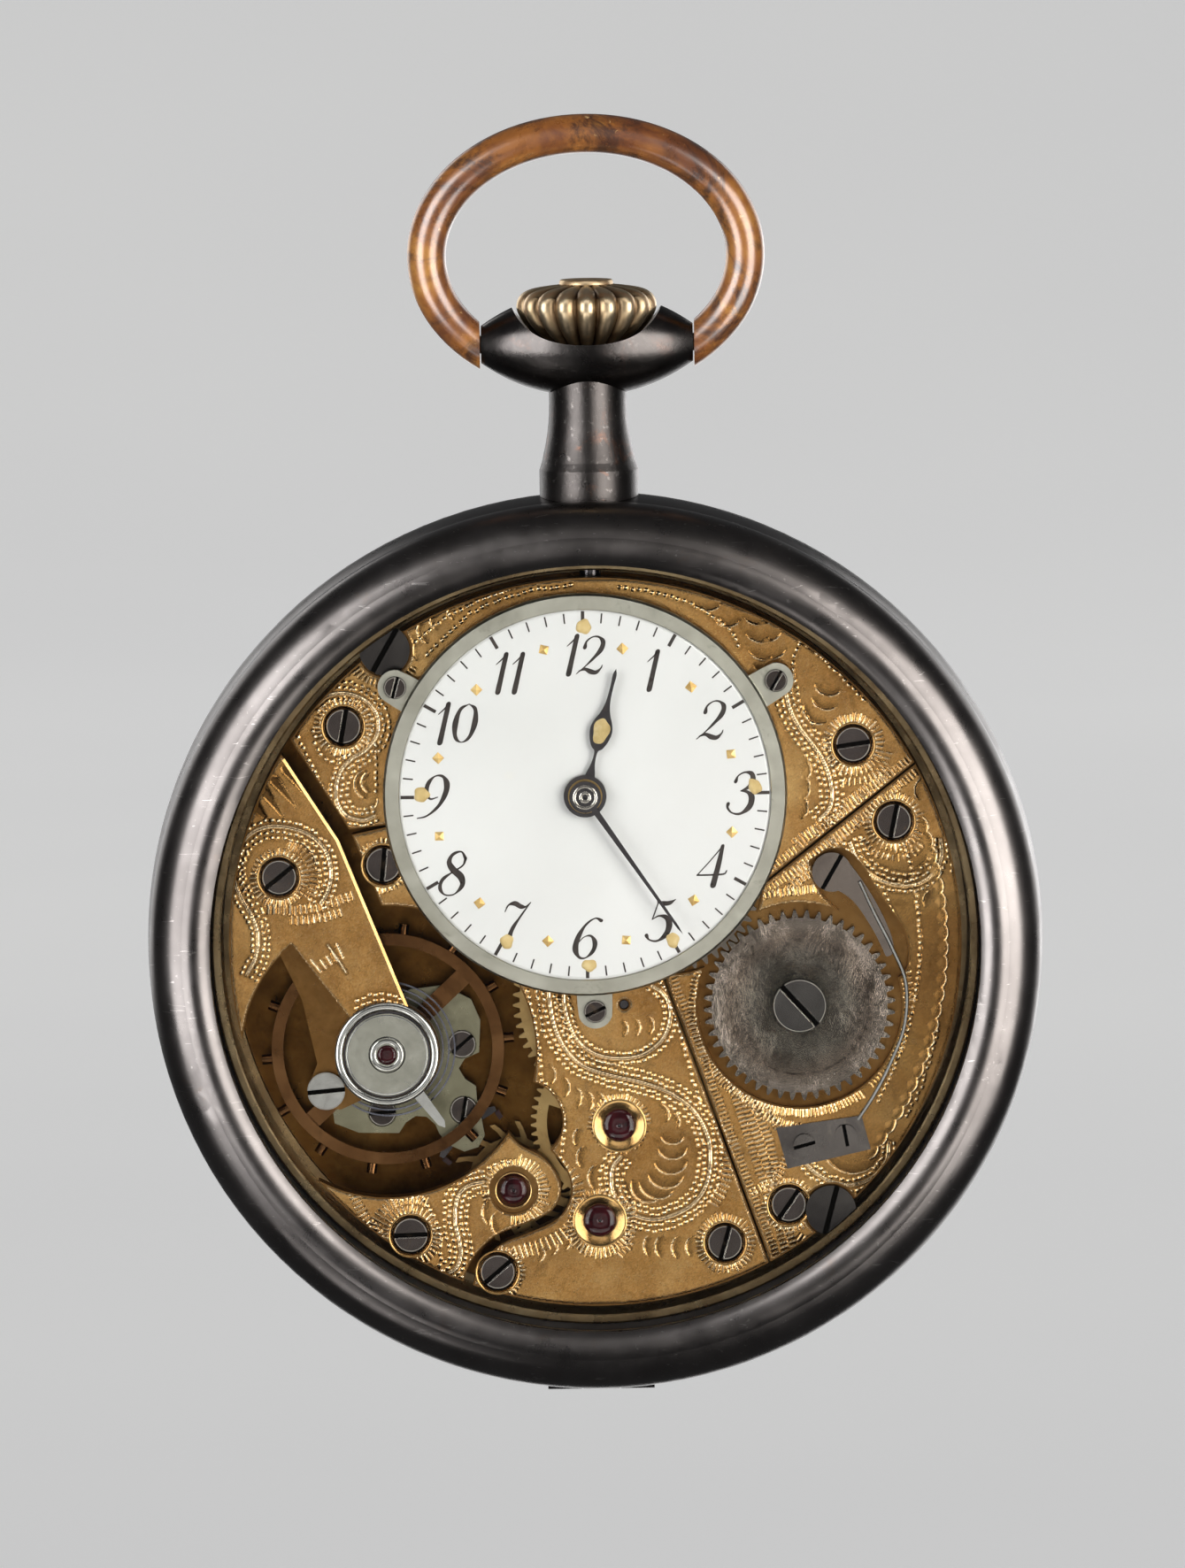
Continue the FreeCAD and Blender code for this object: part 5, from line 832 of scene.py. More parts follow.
def tick(x, z, ux, uz, start, end, tone, wide=0.05):
    """A short chisel cut along (ux, uz), lit on one side and dark on the other."""
    middle = (start + end) / 2
    half = abs(end - start) / 2
    w, dx, dz = window(x + ux * middle, z + uz * middle, half + 0.25)
    a = np.maximum(np.abs(dx * ux + dz * uz) - half, 0)
    b = -dx * uz + dz * ux
    lit = np.exp(-((a / 0.05) ** 2 + (b / wide) ** 2))
    shade = np.exp(-((a / 0.06) ** 2 + ((b - 1.8 * wide) / (wide * 1.1)) ** 2))
    TONE[w] = np.maximum(TONE[w] - 0.5 * shade, np.where(lit > 0.2, tone * lit, -1))
    HEIGHT[w] += -0.022 * shade + 0.006 * lit


def ticks(path, start, end, pitch, tone=0.8):
    """Chisel cuts across a path."""
    row = evenly(path, pitch)
    for (x, z), (tx, tz) in zip(row, tangents(row)):
        level = tone * rng.uniform(0.45, 1.0)
        slip = rng.normal(0, 0.03)
        tick(x, z, -tz, tx, start + slip, end + slip, level)


def fringe(centre, inner, outer, pitch, from_angle=0.0, to_angle=360.0, tone=0.8):
    """Chisel cuts standing out round a sink."""
    turn = to_angle - from_angle
    count = int(math.radians(turn) * (inner + outer) / 2 / pitch)
    for i in range(count):
        a = math.radians(from_angle + turn * (i + 0.5) / count)
        level = tone * rng.uniform(0.4, 1.0)
        start = inner + rng.normal(0, 0.02)
        end = outer + rng.normal(0, 0.04)
        tick(centre[0], centre[1], math.cos(a), math.sin(a), start, end, level, wide=0.045)


def shell(x, z, radius, from_angle, to_angle, tone=0.75):
    """A scooped crescent: shaded towards its rim, which catches the light."""
    w, dx, dz = window(x, z, radius + 0.3)
    d = np.hypot(dx, dz)
    angle = np.degrees(np.arctan2(dz, dx))
    middle, half = (from_angle + to_angle) / 2, (to_angle - from_angle) / 2
    off = np.abs((angle - middle + 180) % 360 - 180)
    gate = np.clip((half - off) / 28.0, 0, 1) ** 0.7
    slope = np.clip((d - 0.35 * radius) / (0.65 * radius), 0, 1)
    cover = np.clip((radius - d) / 0.05, 0, 1) * gate * 0.9
    TONE[w] = TONE[w] * (1 - cover) + -0.62 * slope**2.2 * cover
    HEIGHT[w] = HEIGHT[w] * (1 - cover) + -0.05 * slope**1.5 * cover
    rim = np.exp(-(((d - radius - 0.02) / 0.055) ** 2)) * gate
    TONE[w] = np.maximum(TONE[w], tone * rim - (1 - rim))
    HEIGHT[w] += 0.012 * rim


def ray(start, end):
    """A cut, painted dark as shade within it, that narrows from its start to its end."""
    start, end = np.array(start), np.array(end)
    dabs = 26
    for i in range(dabs):
        t = i / (dabs - 1)
        x, z = start * (1 - t) + end * t
        radius = 0.16 * (1 - t) + 0.03
        w, dx, dz = window(x, z, radius * 2.5)
        dab = np.exp(-((np.hypot(dx, dz) / radius) ** 2))
        TONE[w] = TONE[w] * (1 - dab) + -0.75 * dab
        HEIGHT[w] = HEIGHT[w] * (1 - dab) - 0.05 * dab


def engrave_plates():
    """Lay all the marks; later ones cut into earlier ones."""
    for group in SHELLS.values():
        for row in group:
            shell(*row)
    for start, end in RAYS:
        ray(start, end)
    for path, start, end, pitch in TICKS.values():
        ticks(smooth(path), start, end, pitch)
    for name, points in SCROLLS.items():
        path = smooth(points)
        for offset in (-0.055, 0.055):
            groove(path, offset, width=0.045, tone=0.95, dark=0.35)
        beads(path, 0.31)
        beads(path, -0.31)
        for offset, tone in zip(OUTER_ROWS.get(name, ()), (0.85, 0.8)):
            beads(path, offset, pitch=0.36, tone=tone)
    for path in BEADS.values():
        beads(smooth(path), pitch=0.36, tone=0.95)
    for row in FRINGES:
        fringe(*row)
    # the regulator scale on the cock: plain strokes, longer at the middle and the ends
    for k in range(-4, 5):
        a = math.radians(128.0 + 3.6 * k)
        outer = 6.75 if k % 4 == 0 else 6.4
        tick(*BALANCE, math.cos(a), math.sin(a), 5.9, outer, tone=0.95)
    curve = smooth([(-14.9, 0.1), (-14.35, -0.7), (-13.9, -1.45)])
    groove(curve, 0, width=0.05, tone=0.9, dark=0.3)
    # light cuts near the edges of the plates: gap, offset from it, half length
    for gap, offset, half in ((FALLING_GAP, 0.5, 0.15), (RISING_GAP, 0.45, 0.16),
                              (RISING_GAP, -0.45, 0.16)):
        ticks(side(evenly(gap, 0.1), offset), -half, half, pitch=0.24, tone=0.6)
    TONE[:] = np.clip(TONE + 0.05 * rng.normal(0, 1, TONE.shape), -1, 1)


def engrave_barrel_rim():
    """The barrel bridge's rim: painted shade over its right-hand, lower part, a band of small scoops
    and a beaded line.
    """
    w, _, _ = window(17.0, -3.0, 11.0)
    # painted shade: the ground darkens towards the right and towards the bottom
    shade = np.clip((GRID_X[w] - 12.0) / 5.0, 0, 1) * np.clip((6.0 - GRID_Z[w]) / 4.0, 0, 1)
    TONE[w] -= 0.42 * shade * (TONE[w] < 0.3)
    scoops, line = 19.0, 18.05  # radii of the two bands
    for deg in np.arange(-38, 20, 2.6):
        a = math.radians(deg)
        shell(scoops * math.cos(a), scoops * math.sin(a), 0.62, deg - 62, deg + 62, tone=0.7)
    angles = [math.radians(deg) for deg in range(-30, 20, 4)]
    beads(smooth([(line * math.cos(a), line * math.sin(a)) for a in angles], 0.2), tone=0.8)


def rasterise(triangles):
    """Grid points inside the flat triangles."""
    mask = np.zeros((GRID, GRID), bool)
    slack = 1e-9
    for triangle in triangles:
        low, high = triangle.min(axis=0) - 1e-6, triangle.max(axis=0) + 1e-6
        columns = slice(*np.searchsorted(AXIS, [low[0], high[0]]))
        rows = slice(*np.searchsorted(AXIS, [low[1], high[1]]))
        x, z = GRID_X[rows, columns], GRID_Z[rows, columns]
        sides = np.array([
            (q[0] - p[0]) * (z - p[1]) - (q[1] - p[1]) * (x - p[0])
            for p, q in zip(triangle, np.roll(triangle, -1, axis=0))])
        mask[rows, columns] |= (sides >= -slack).all(axis=0) | (sides <= slack).all(axis=0)
    return mask


def shrink(mask):
    """The mask without its outermost grid points."""
    kept = mask.copy()
    kept[1:] &= mask[:-1]
    kept[:-1] &= mask[1:]
    kept[:, 1:] &= mask[:, :-1]
    kept[:, :-1] &= mask[:, 1:]
    return kept


def engraved_skin(piece, name):
    """A fine engraved sheet just in front of a bridge's flat face."""
    mesh = nodes[piece].data
    mesh.calc_loop_triangles()
    points = np.empty(len(mesh.vertices) * 3, np.float32)
    mesh.vertices.foreach_get("co", points)
    points = points.reshape(-1, 3).astype(float) * 1000
    corners = np.empty(len(mesh.loop_triangles) * 3, int)
    mesh.loop_triangles.foreach_get("vertices", corners)
    corners = corners.reshape(-1, 3)
    flat = np.all(np.abs(points[corners][:, :, 1] + PLATE_FRONT) < 1e-3, axis=1)
    mask = rasterise(points[corners[flat]][:, :, [0, 2]])
    mask &= np.hypot(GRID_X - HANDS[0], GRID_Z - HANDS[1]) >= 10.4  # clear of the dial

    # the height falls away to a rounded lip at the outline
    inner = shrink(mask)
    lip = np.zeros(mask.shape)
    for _ in range(3):
        mask = shrink(mask)
        lip += mask
    lip /= 3.0

    ends = (slice(None, -1), slice(1, None))
    quad_corners = [(rows, columns) for rows in ends for columns in ends]
    quad = np.logical_and.reduce([inner[corner] for corner in quad_corners])
    used = np.zeros(mask.shape, bool)
    for corner in quad_corners:
        used[corner] |= quad
    index = np.full(mask.shape, -1)
    index[used] = np.arange(used.sum())
    y = -PLATE_FRONT - 0.06 - np.clip(HEIGHT, -0.055, 0.085) + 0.045 * (1 - lip)
    verts = np.stack([GRID_X[used], y[used], GRID_Z[used]], 1) * MM
    j, i = np.nonzero(quad)
    faces = np.stack([index[j, i], index[j, i + 1], index[j + 1, i + 1], index[j + 1, i]], 1)
    # the lip along the outline is painted lighter: a painted highlight on the plates' edges
    tone = np.clip(TONE + 0.55 * (1 - lip), -1, 1)[used]
    add_mesh(name, verts.tolist(), faces.tolist(), "plate_engraved", "case", "plate_gilt",
             tone=tone)


engrave_plates()
engrave_barrel_rim()
for piece, name in (("upper_bridge", "skin_upper"), ("train_bridge", "skin_train"),
                    ("barrel_bridge", "skin_barrel"), ("escape_cock", "skin_escape"),
                    ("balance_cock", "skin_cock")):
    engraved_skin(piece, name)


# ---- turned parts: profiles are (radius, depth) --------------------------------------------------
def sink_cups():
    """Polished cups round the jewels and the bridge screws."""
    cups = Shape()
    for place in (THIRD, FOURTH):
        cups.lathe(*place, [(0.90, 7.74), (0.98, 7.80), (1.14, 7.88), (1.30, 7.955),
                            (1.40, 7.995), (1.46, 8.0), (1.51, 7.97)])
    cups.lathe(*ESCAPE, [(0.76, 7.70), (0.80, 7.73), (0.88, 7.80), (0.93, 7.88),
                         (0.98, 7.95), (1.03, 7.95)])
    cups.lathe(*CENTRE, [(0.30, 7.60), (0.46, 7.70), (0.60, 7.86), (0.70, 7.95), (0.75, 7.945)])
    for x, z, _, _ in BRIDGE_SCREWS:
        cups.lathe(x, z, [(0.975, 7.30), (0.99, 7.62), (1.05, 7.80), (1.13, 7.91),
                          (1.19, 7.96), (1.25, 7.95)])
    cups.add("sink_cups", "sink_gilt", "case", "plate_gilt")


def balance_rings():
    """The regulator's ring, the cap's polished edges and a dark ring standing in for the shadow in
    the gap between them.
    """
    ring = Shape()
    ring.lathe(*BALANCE, [(2.45, 8.22), (2.48, 8.28), (2.55, 8.325), (2.64, 8.345),
                          (2.72, 8.345), (2.81, 8.32), (2.89, 8.27), (2.92, 8.20)], 96)
    ring.add("regulator_ring", "steel_bright", "regulator", "steel_bright")
    edges = Shape()
    edges.lathe(*BALANCE, [(0.56, 8.44), (0.585, 8.52), (0.65, 8.565), (0.74, 8.58),
                           (0.84, 8.57), (0.93, 8.54), (0.99, 8.49), (1.03, 8.45)])
    edges.lathe(*BALANCE, [(2.17, 8.455), (2.24, 8.452), (2.30, 8.42), (2.315, 8.36)], 96)
    edges.add("cap_edges", "steel_bright", "case", "steel_bright")
    # a dark sheet as painted shadow in the gap between the ring and the cap
    gap = Shape()
    gap.lathe(*BALANCE, [(2.28, 8.22), (2.42, 8.22)], 96)
    gap.add("cap_shadow_gap", "steel_dark", "case", "steel_dark", smooth_shade=False)


def jewel_domes():
    gems = Shape()
    dome = [(0.765, 7.69), (0.74, 7.76), (0.66, 7.83), (0.52, 7.885), (0.34, 7.925),
            (0.20, 7.935), (0.12, 7.92), (0.07, 7.88)]
    for place, size in ((THIRD, 1.2), (FOURTH, 1.2), (ESCAPE, 1.05)):
        gems.lathe(*place, [(radius * size, depth) for radius, depth in dome], 48)
    gems.lathe(*BALANCE, [(0.53, 8.49), (0.50, 8.53), (0.40, 8.57), (0.24, 8.595),
                          (0.10, 8.60), (0.001, 8.60)], 48)
    gems.add("jewel_domes", "ruby", "case", "ruby")


def hub_rings():
    """Two rounded rings on the front of the hands' hub."""
    top = 1000 * max(-v.co.y for name in ("minute_arbor", "minute_hand")
                     for v in nodes[name].data.vertices)
    rings = Shape()
    # radii of the foot, the two shoulders and the other foot, then the shoulders' rise
    for a, b, c, d, rise_in, rise_out in ((0.16, 0.20, 0.27, 0.33, 0.03, 0.035),
                                          (0.52, 0.57, 0.63, 0.68, 0.028, 0.028)):
        rings.lathe(*HANDS, [(a, top + 0.002), (b, top + rise_in), (c, top + rise_out),
                             (d, top + 0.002)], 48)
    rings.add("hub_rings", "edge_steel", "minute_hand", "steel_bright")


# x, z, head radius, depth of the top, half width of the slot, angle of the slot in degrees
SCREW_HEADS = [
    *[(x, z, 0.95, 7.74, 0.13, angle) for x, z, angle, _ in BRIDGE_SCREWS],
    (-10.898, 14.555, 0.62, 9.5, 0.09, 75),
    (10.207, 14.66, 0.62, 9.5, 0.09, 60),
    (-0.051, -3.66, 0.62, 9.5, 0.09, 25),
    (-12.076, -9.719, 0.76, 5.0, 0.10, 5),
    (-7.546, -5.926, 0.76, 5.0, 0.10, 40),
    (-7.5, -9.65, 0.76, 5.0, 0.10, 80),
    (*BARREL, 1.48, 8.12, 0.15, -48),
    (-15.116, -8.09, 1.05, 8.0, 0.13, 5),
]


def screw_edges():
    """Bright edges of the screw heads, broken at the slot, and of the slots themselves."""
    edges = Shape()
    count = 72
    for x, z, head, top, half, degrees in SCREW_HEADS:
        angle = math.radians(degrees)
        bevel = [(head - 0.075, top + 0.004), (head - 0.03, top + 0.006),
                 (head + 0.008, top - 0.035)]
        start = edges.rings(x, z, bevel, count)
        solid = [i for i in range(count)
                 if abs(math.sin(2 * math.pi * (i + 0.5) / count - angle)) * head >= half + 0.03]
        edges.weave(start, len(bevel), count, solid)
        c, s = math.cos(angle), math.sin(angle)
        reach = math.sqrt((head - 0.05) ** 2 - half**2)
        for sign in (-1, 1):
            start = len(edges.verts)
            for along in (-reach, reach):
                for across, depth in ((half + 0.045, top + 0.004), (half - 0.004, top - 0.022)):
                    edges.point(x + along * c - sign * across * s, depth,
                                z + along * s + sign * across * c)
            edges.weave(start, 2, 2, [0])
    edges.add("screw_edges", "edge_steel", "case", "steel_bright", smooth_shade=False)


def click_spring_blade():
    path = smooth([(14.75, 3.25), (15.55, 1.48), (16.5, -0.45), (17.25, -2.45), (17.15, -4.85),
                   (16.3, -7.05), (15.4, -8.75), (14.5, -10.1)], 0.12)
    section = [(-0.10, 7.98), (-0.10, 8.12), (-0.05, 8.17), (0.05, 8.17), (0.10, 8.12),
               (0.10, 7.98)]
    blade = Shape()
    blade.extrude(path, section)
    sides = len(section)
    for first in (0, sides * (len(path) - 1)):
        blade.faces.append(tuple(first + i for i in range(sides)))
    blade.add("click_spring_blade", "steel_bright", "case", "steel_bright", smooth_shade=False)


def cock_bevel():
    """Polished bevel down the cock's long edge."""
    bevel = Shape()
    edge = np.array([(-17.15, 10.55), (-14.22, 5.95), (-10.45, -3.55)])
    bevel.extrude(edge, [(-0.13, 8.005), (0.03, 7.93)])
    bevel.add("cock_bevel", "sink_gilt", "case", "plate_gilt", smooth_shade=False)


sink_cups()
balance_rings()
jewel_domes()
hub_rings()
screw_edges()
click_spring_blade()
cock_bevel()

# ---- crown: eighteen plump ribs about an upright axis --------------------------------------------
CROWN_DEPTH = 5.8
RIBS = 18
RIB_STEPS = 14
CAP_STEPS = 72
# radius, z
CROWN_PROFILE = [
    (0.98, 32.47), (1.25, 32.62), (1.75, 32.95), (2.35, 33.36), (2.95, 33.85), (3.42, 34.34),
    (3.75, 34.82), (3.92, 35.25), (3.92, 35.6), (3.78, 35.92), (3.5, 36.17), (3.1, 36.34),
    (2.6, 36.45), (2.1, 36.52), (1.7, 36.56), (1.52, 36.6)]
CROWN_CAP = [(1.5, 36.6), (1.48, 36.78), (1.40, 36.86), (1.2, 36.88), (0.9, 36.86),
             (0.6, 36.82), (0.3, 36.80), (0.001, 36.80)]


def ribbed_crown():
    crown = Shape()
    tones = []

    def add_point(radius, angle, z, tone):
        crown.point(radius * math.sin(angle), CROWN_DEPTH + radius * math.cos(angle), z)
        tones.append(tone)

    profile = smooth(CROWN_PROFILE, 0.09)
    count = RIBS * RIB_STEPS
    for radius, z in profile:
        flute = 0.46 * min(1.0, (radius - 1.3) / 1.5) ** 0.7 if radius > 1.5 else 0.0
        drop = 0.10 if z > 36.0 and radius > 1.6 else 0.0
        for i in range(count):
            a = 2 * math.pi * i / count
            hollow = 1 - abs(math.cos(RIBS / 2 * a)) ** 0.62
            # rib crests painted a little lighter and the hollows between ribs darker: painted
            # highlight and painted shade
            tone = max(-1.0, 0.30 - 1.7 * hollow) if radius > 1.6 else 0.0
            add_point(radius - flute * hollow, a, z - drop * hollow, tone)
    crown.weave(0, len(profile), count, range(count))
    start = len(crown.verts)
    for radius, z in CROWN_CAP:
        for i in range(CAP_STEPS):
            add_point(radius, 2 * math.pi * i / CAP_STEPS, z, 0.0)
    crown.weave(start, len(CROWN_CAP), CAP_STEPS, range(CAP_STEPS))
    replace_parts(crown.add("crown_ribbed", "crown_gilt", "crown", "crown_gilt", tone=tones), "crown")


ribbed_crown()

# ---- dial ----------------------------------------------------------------------------------------
# Pen strokes of each digit, in digit heights: across, up, pen width
DIGITS = {
    "1": [
        [(0.10, 0.74, 0.03), (0.22, 0.86, 0.045), (0.34, 1.0, 0.06)],
        [(0.33, 1.0, 0.15), (0.31, 0.5, 0.155), (0.29, 0.0, 0.17)]],
    "2": [
        [(0.12, 0.70, 0.12), (0.14, 0.86, 0.06), (0.30, 0.98, 0.04), (0.48, 0.97, 0.06),
         (0.62, 0.84, 0.14), (0.60, 0.64, 0.16), (0.44, 0.42, 0.09), (0.22, 0.18, 0.04),
         (0.02, 0.0, 0.03)],
        [(0.08, 0.07, 0.04), (0.24, 0.12, 0.09), (0.42, 0.05, 0.14), (0.58, 0.03, 0.12),
         (0.70, 0.14, 0.05), (0.72, 0.22, 0.03)]],
    "3": [
        [(0.16, 0.78, 0.10), (0.20, 0.92, 0.04), (0.36, 1.0, 0.05), (0.54, 0.96, 0.12),
         (0.60, 0.80, 0.16), (0.52, 0.64, 0.10), (0.34, 0.55, 0.03)],
        [(0.34, 0.55, 0.03), (0.52, 0.52, 0.08), (0.66, 0.38, 0.17), (0.64, 0.16, 0.17),
         (0.44, 0.0, 0.07), (0.22, 0.02, 0.04), (0.08, 0.14, 0.06), (0.07, 0.24, 0.10)]],
    "4": [
        [(0.56, 1.0, 0.04), (0.30, 0.64, 0.035), (0.0, 0.26, 0.035)],
        [(0.0, 0.26, 0.045), (0.40, 0.26, 0.05), (0.74, 0.28, 0.05), (0.80, 0.36, 0.04)],
        [(0.56, 1.0, 0.11), (0.54, 0.5, 0.16), (0.50, 0.0, 0.18)]],
    "5": [
        [(0.22, 0.98, 0.04), (0.18, 0.76, 0.04), (0.14, 0.54, 0.04)],
        [(0.20, 0.97, 0.05), (0.36, 0.93, 0.13), (0.52, 0.94, 0.12), (0.66, 1.02, 0.03)],
        [(0.14, 0.54, 0.03), (0.30, 0.62, 0.05), (0.50, 0.58, 0.12), (0.62, 0.40, 0.18),
         (0.58, 0.16, 0.16), (0.38, 0.0, 0.06), (0.16, 0.03, 0.04), (0.06, 0.14, 0.10)]],
    "6": [
        [(0.66, 0.92, 0.09), (0.48, 0.98, 0.04), (0.26, 0.82, 0.07), (0.12, 0.52, 0.15),
         (0.10, 0.24, 0.17), (0.24, 0.02, 0.07), (0.42, 0.0, 0.04), (0.58, 0.16, 0.12),
         (0.60, 0.36, 0.14), (0.46, 0.54, 0.06), (0.28, 0.52, 0.03), (0.15, 0.38, 0.03)]],
    "7": [
        [(0.08, 0.78, 0.03), (0.14, 0.94, 0.05), (0.30, 0.98, 0.13), (0.48, 0.90, 0.12),
         (0.62, 0.90, 0.05), (0.72, 1.0, 0.03)],
        [(0.72, 1.0, 0.03), (0.52, 0.66, 0.06), (0.36, 0.34, 0.12), (0.30, 0.0, 0.17)]],
    "8": [
        [(0.60, 0.84, 0.08), (0.46, 1.0, 0.04), (0.26, 0.94, 0.09), (0.20, 0.76, 0.13),
         (0.34, 0.58, 0.16), (0.56, 0.42, 0.17), (0.64, 0.22, 0.13), (0.48, 0.01, 0.04),
         (0.24, 0.0, 0.04), (0.09, 0.16, 0.10), (0.12, 0.36, 0.10), (0.34, 0.53, 0.04),
         (0.56, 0.68, 0.05), (0.60, 0.84, 0.08)]],
    "9": [
        [(0.02, 0.0, 0.03), (0.26, 0.06, 0.05), (0.50, 0.28, 0.09), (0.62, 0.56, 0.15),
         (0.62, 0.80, 0.16), (0.48, 0.99, 0.07), (0.28, 1.0, 0.04), (0.14, 0.84, 0.12),
         (0.13, 0.62, 0.13), (0.26, 0.46, 0.05), (0.44, 0.50, 0.03)]],
    "0": [
        [(0.36, 1.0, 0.03), (0.14, 0.86, 0.11), (0.07, 0.5, 0.18), (0.14, 0.14, 0.11),
         (0.34, 0.0, 0.03), (0.54, 0.14, 0.11), (0.62, 0.5, 0.18), (0.56, 0.86, 0.11),
         (0.36, 1.0, 0.03)]],
}
# For hours 1 to 12: digit height, distance from the hands' centre, step between two digits
NUMERALS = [
    (2.07, 7.95, 0.0), (2.115, 8.2, 0.0), (2.295, 8.65, 0.0), (2.16, 8.05, 0.0),
    (2.25, 8.15, 0.0), (2.25, 7.95, 0.0), (2.25, 8.15, 0.0), (2.385, 8.5, 0.0),
    (2.34, 8.35, 0.0), (2.115, 8.2, 0.56), (2.07, 7.9, 0.48), (2.07, 7.8, 0.5),
]
PEN_WEIGHT = 0.93
DIGIT_WIDTH = 0.72  # in digit heights, before the squeeze
SLANT = 0.22
SQUEEZE = 0.92
HOUR_ANGLE = math.radians(90 - 14.5)  # of the hour hand, from +X


def dial_point(x, z, lift):
    """A point at a height above the domed dial."""
    radius = np.hypot(x - HANDS[0], z - HANDS[1])
    return x, DIAL_TOP - 0.22 * (radius / 10.15) ** 2 + lift, z


def stroke(shape, stations, place, weight=1.0, caps=True):
    """A flat ribbon whose width swells along (u, v, width) stations; place maps (u, v)."""
    stations = np.array(stations, float)
    parts = 12
    path = catmull_rom(stations[:, :2], parts)
    pen = stations[:, 2] * weight
    widths = []
    for a, b in zip(pen, pen[1:]):
        for t in np.linspace(0, 1, parts, endpoint=False):
            k = t * t * (3 - 2 * t)
            widths.append(a * (1 - k) + b * k)
    widths = np.array([*widths, pen[-1]])
    start = len(shape.verts)
    half = widths[:, None] / 2
    for left, right in zip(side(path, half), side(path, -half)):
        shape.point(*place(*left))
        shape.point(*place(*right))
    shape.weave(start, len(path), 2, [0])
    if caps:
        steps = 14
        for end in (0, -1):
            (u, v), width = path[end], widths[end]
            hub = len(shape.verts)
            shape.point(*place(u, v))
            for i in range(steps):
                a = 2 * math.pi * i / steps
                shape.point(*place(u + math.cos(a) * width / 2, v + math.sin(a) * width / 2))
            shape.fan(hub, steps)


def dial_print():
    """Numerals and the sixty minute marks."""
    ink = Shape()
    for hour, (tall, reach, step) in enumerate(NUMERALS, 1):
        a = math.radians(90 - 30 * hour)
        middle_x, middle_z = HANDS[0] + reach * math.cos(a), HANDS[1] + reach * math.sin(a)
        width = step + DIGIT_WIDTH
        for i, digit in enumerate(str(hour)):

            def place(u, v):
                across = u + step * i - width / 2 + SLANT * (v - 0.5)
                x = middle_x + across * tall * SQUEEZE
                return dial_point(x, middle_z + (v - 0.5) * tall, 0.014 + 0.001 * i)

            for stations in DIGITS[digit]:
                stroke(ink, stations, place, PEN_WEIGHT)
    for minute in range(60):
        a = math.radians(6 * minute)
        c, s = math.cos(a), math.sin(a)
        inner, outer, width = (9.58, 10.14, 0.085) if minute % 5 else (9.48, 10.22, 0.19)

        def place(u, v):
            return dial_point(HANDS[0] + u * c - v * s, HANDS[1] + u * s + v * c, 0.012)

        mark = [(r, 0, width) for r in (inner, (inner + outer) / 2, outer)]
        stroke(ink, mark, place, caps=False)
    ink.add("dial_print", "dial_ink", "case", "enamel", smooth_shade=False)


def dial_lozenges():
    """Twelve low pyramids halfway between the numerals."""
    lozenges = Shape()
    reach, radius = 8.4, 0.34
    for k in range(12):
        a = math.radians(15 + 30 * k)
        x, z = HANDS[0] + reach * math.cos(a), HANDS[1] + reach * math.sin(a)
        turn = rng.uniform(-0.25, 0.25)
        hub = len(lozenges.verts)
        lozenges.point(*dial_point(x, z, 0.075))
        for i in range(4):
            b = math.pi / 2 * i + turn + (math.pi / 4 if k % 3 == 0 else 0)
            lozenges.point(*dial_point(x + radius * math.cos(b), z + radius * math.sin(b), 0.012))
        lozenges.fan(hub, 4)
    lozenges.add("dial_lozenges", "dial_lozenge_gilt", "case", "crown_gilt", smooth_shade=False)


def blob(shape, x, z, radius_u, radius_v, turn, base, rise, seed):
    """A raised dab of paint with an uneven outline, standing on the base depth."""
    phase = np.random.default_rng(seed).uniform(0, 6.28, 3)
    hub = len(shape.verts)
    shape.point(x, base + rise, z)
    rings, count = 5, 36
    for ring in range(1, rings + 1):
        f = ring / rings
        height = rise * math.sqrt(1 - f * f)
        for i in range(count):
            a = 2 * math.pi * i / count
            wobble = 1 + 0.07 * math.sin(3 * a + phase[0]) + 0.05 * math.sin(5 * a + phase[1])
            u = radius_u * f * wobble * math.cos(a)
            v = radius_v * f * wobble * math.sin(a)
            shape.point(x + u * math.cos(turn) - v * math.sin(turn), base + height,
                        z + u * math.sin(turn) + v * math.cos(turn))
    shape.fan(hub, count)
    for ring in range(rings - 1):
        first = hub + 1 + ring * count
        for i in range(count):
            a, b = first + i, first + (i + 1) % count
            shape.faces.append((a, a + count, b + count, b))


# x and z from the hands' centre, the two radii, turn in radians
DIAL_DABS = [
    (0.05, 9.35, 0.42, 0.42, 0), (9.4, 0.35, 0.36, 0.46, 0.5), (-9.05, 0.15, 0.44, 0.42, 0),
    (4.75, -8.15, 0.36, 0.44, 0.2), (0.1, -9.5, 0.42, 0.34, 0), (-4.45, -8.1, 0.36, 0.42, -0.2),
]


def lume():
    """Dabs of paint on the dial, and the one that fills the hour hand's pear."""
    dabs = Shape()
    for seed, (dx, dz, radius_u, radius_v, turn) in enumerate(DIAL_DABS):
        x, base, z = dial_point(HANDS[0] + dx, HANDS[1] + dz, 0.004)
        blob(dabs, x, z, radius_u, radius_v, turn, base, rise=0.11, seed=seed)
    dabs.add("dial_lume", "old_lume", "case", "enamel")
    fill, reach = Shape(), 3.72
    x, z = HANDS[0] + reach * math.cos(HOUR_ANGLE), HANDS[1] + reach * math.sin(HOUR_ANGLE)
    blob(fill, x, z, 0.72, 0.45, HOUR_ANGLE, base=10.2, rise=0.07, seed=9)
    fill.add("hour_hand_lume", "old_lume", "hour_hand", "enamel")


dial_print()
dial_lozenges()
lume()


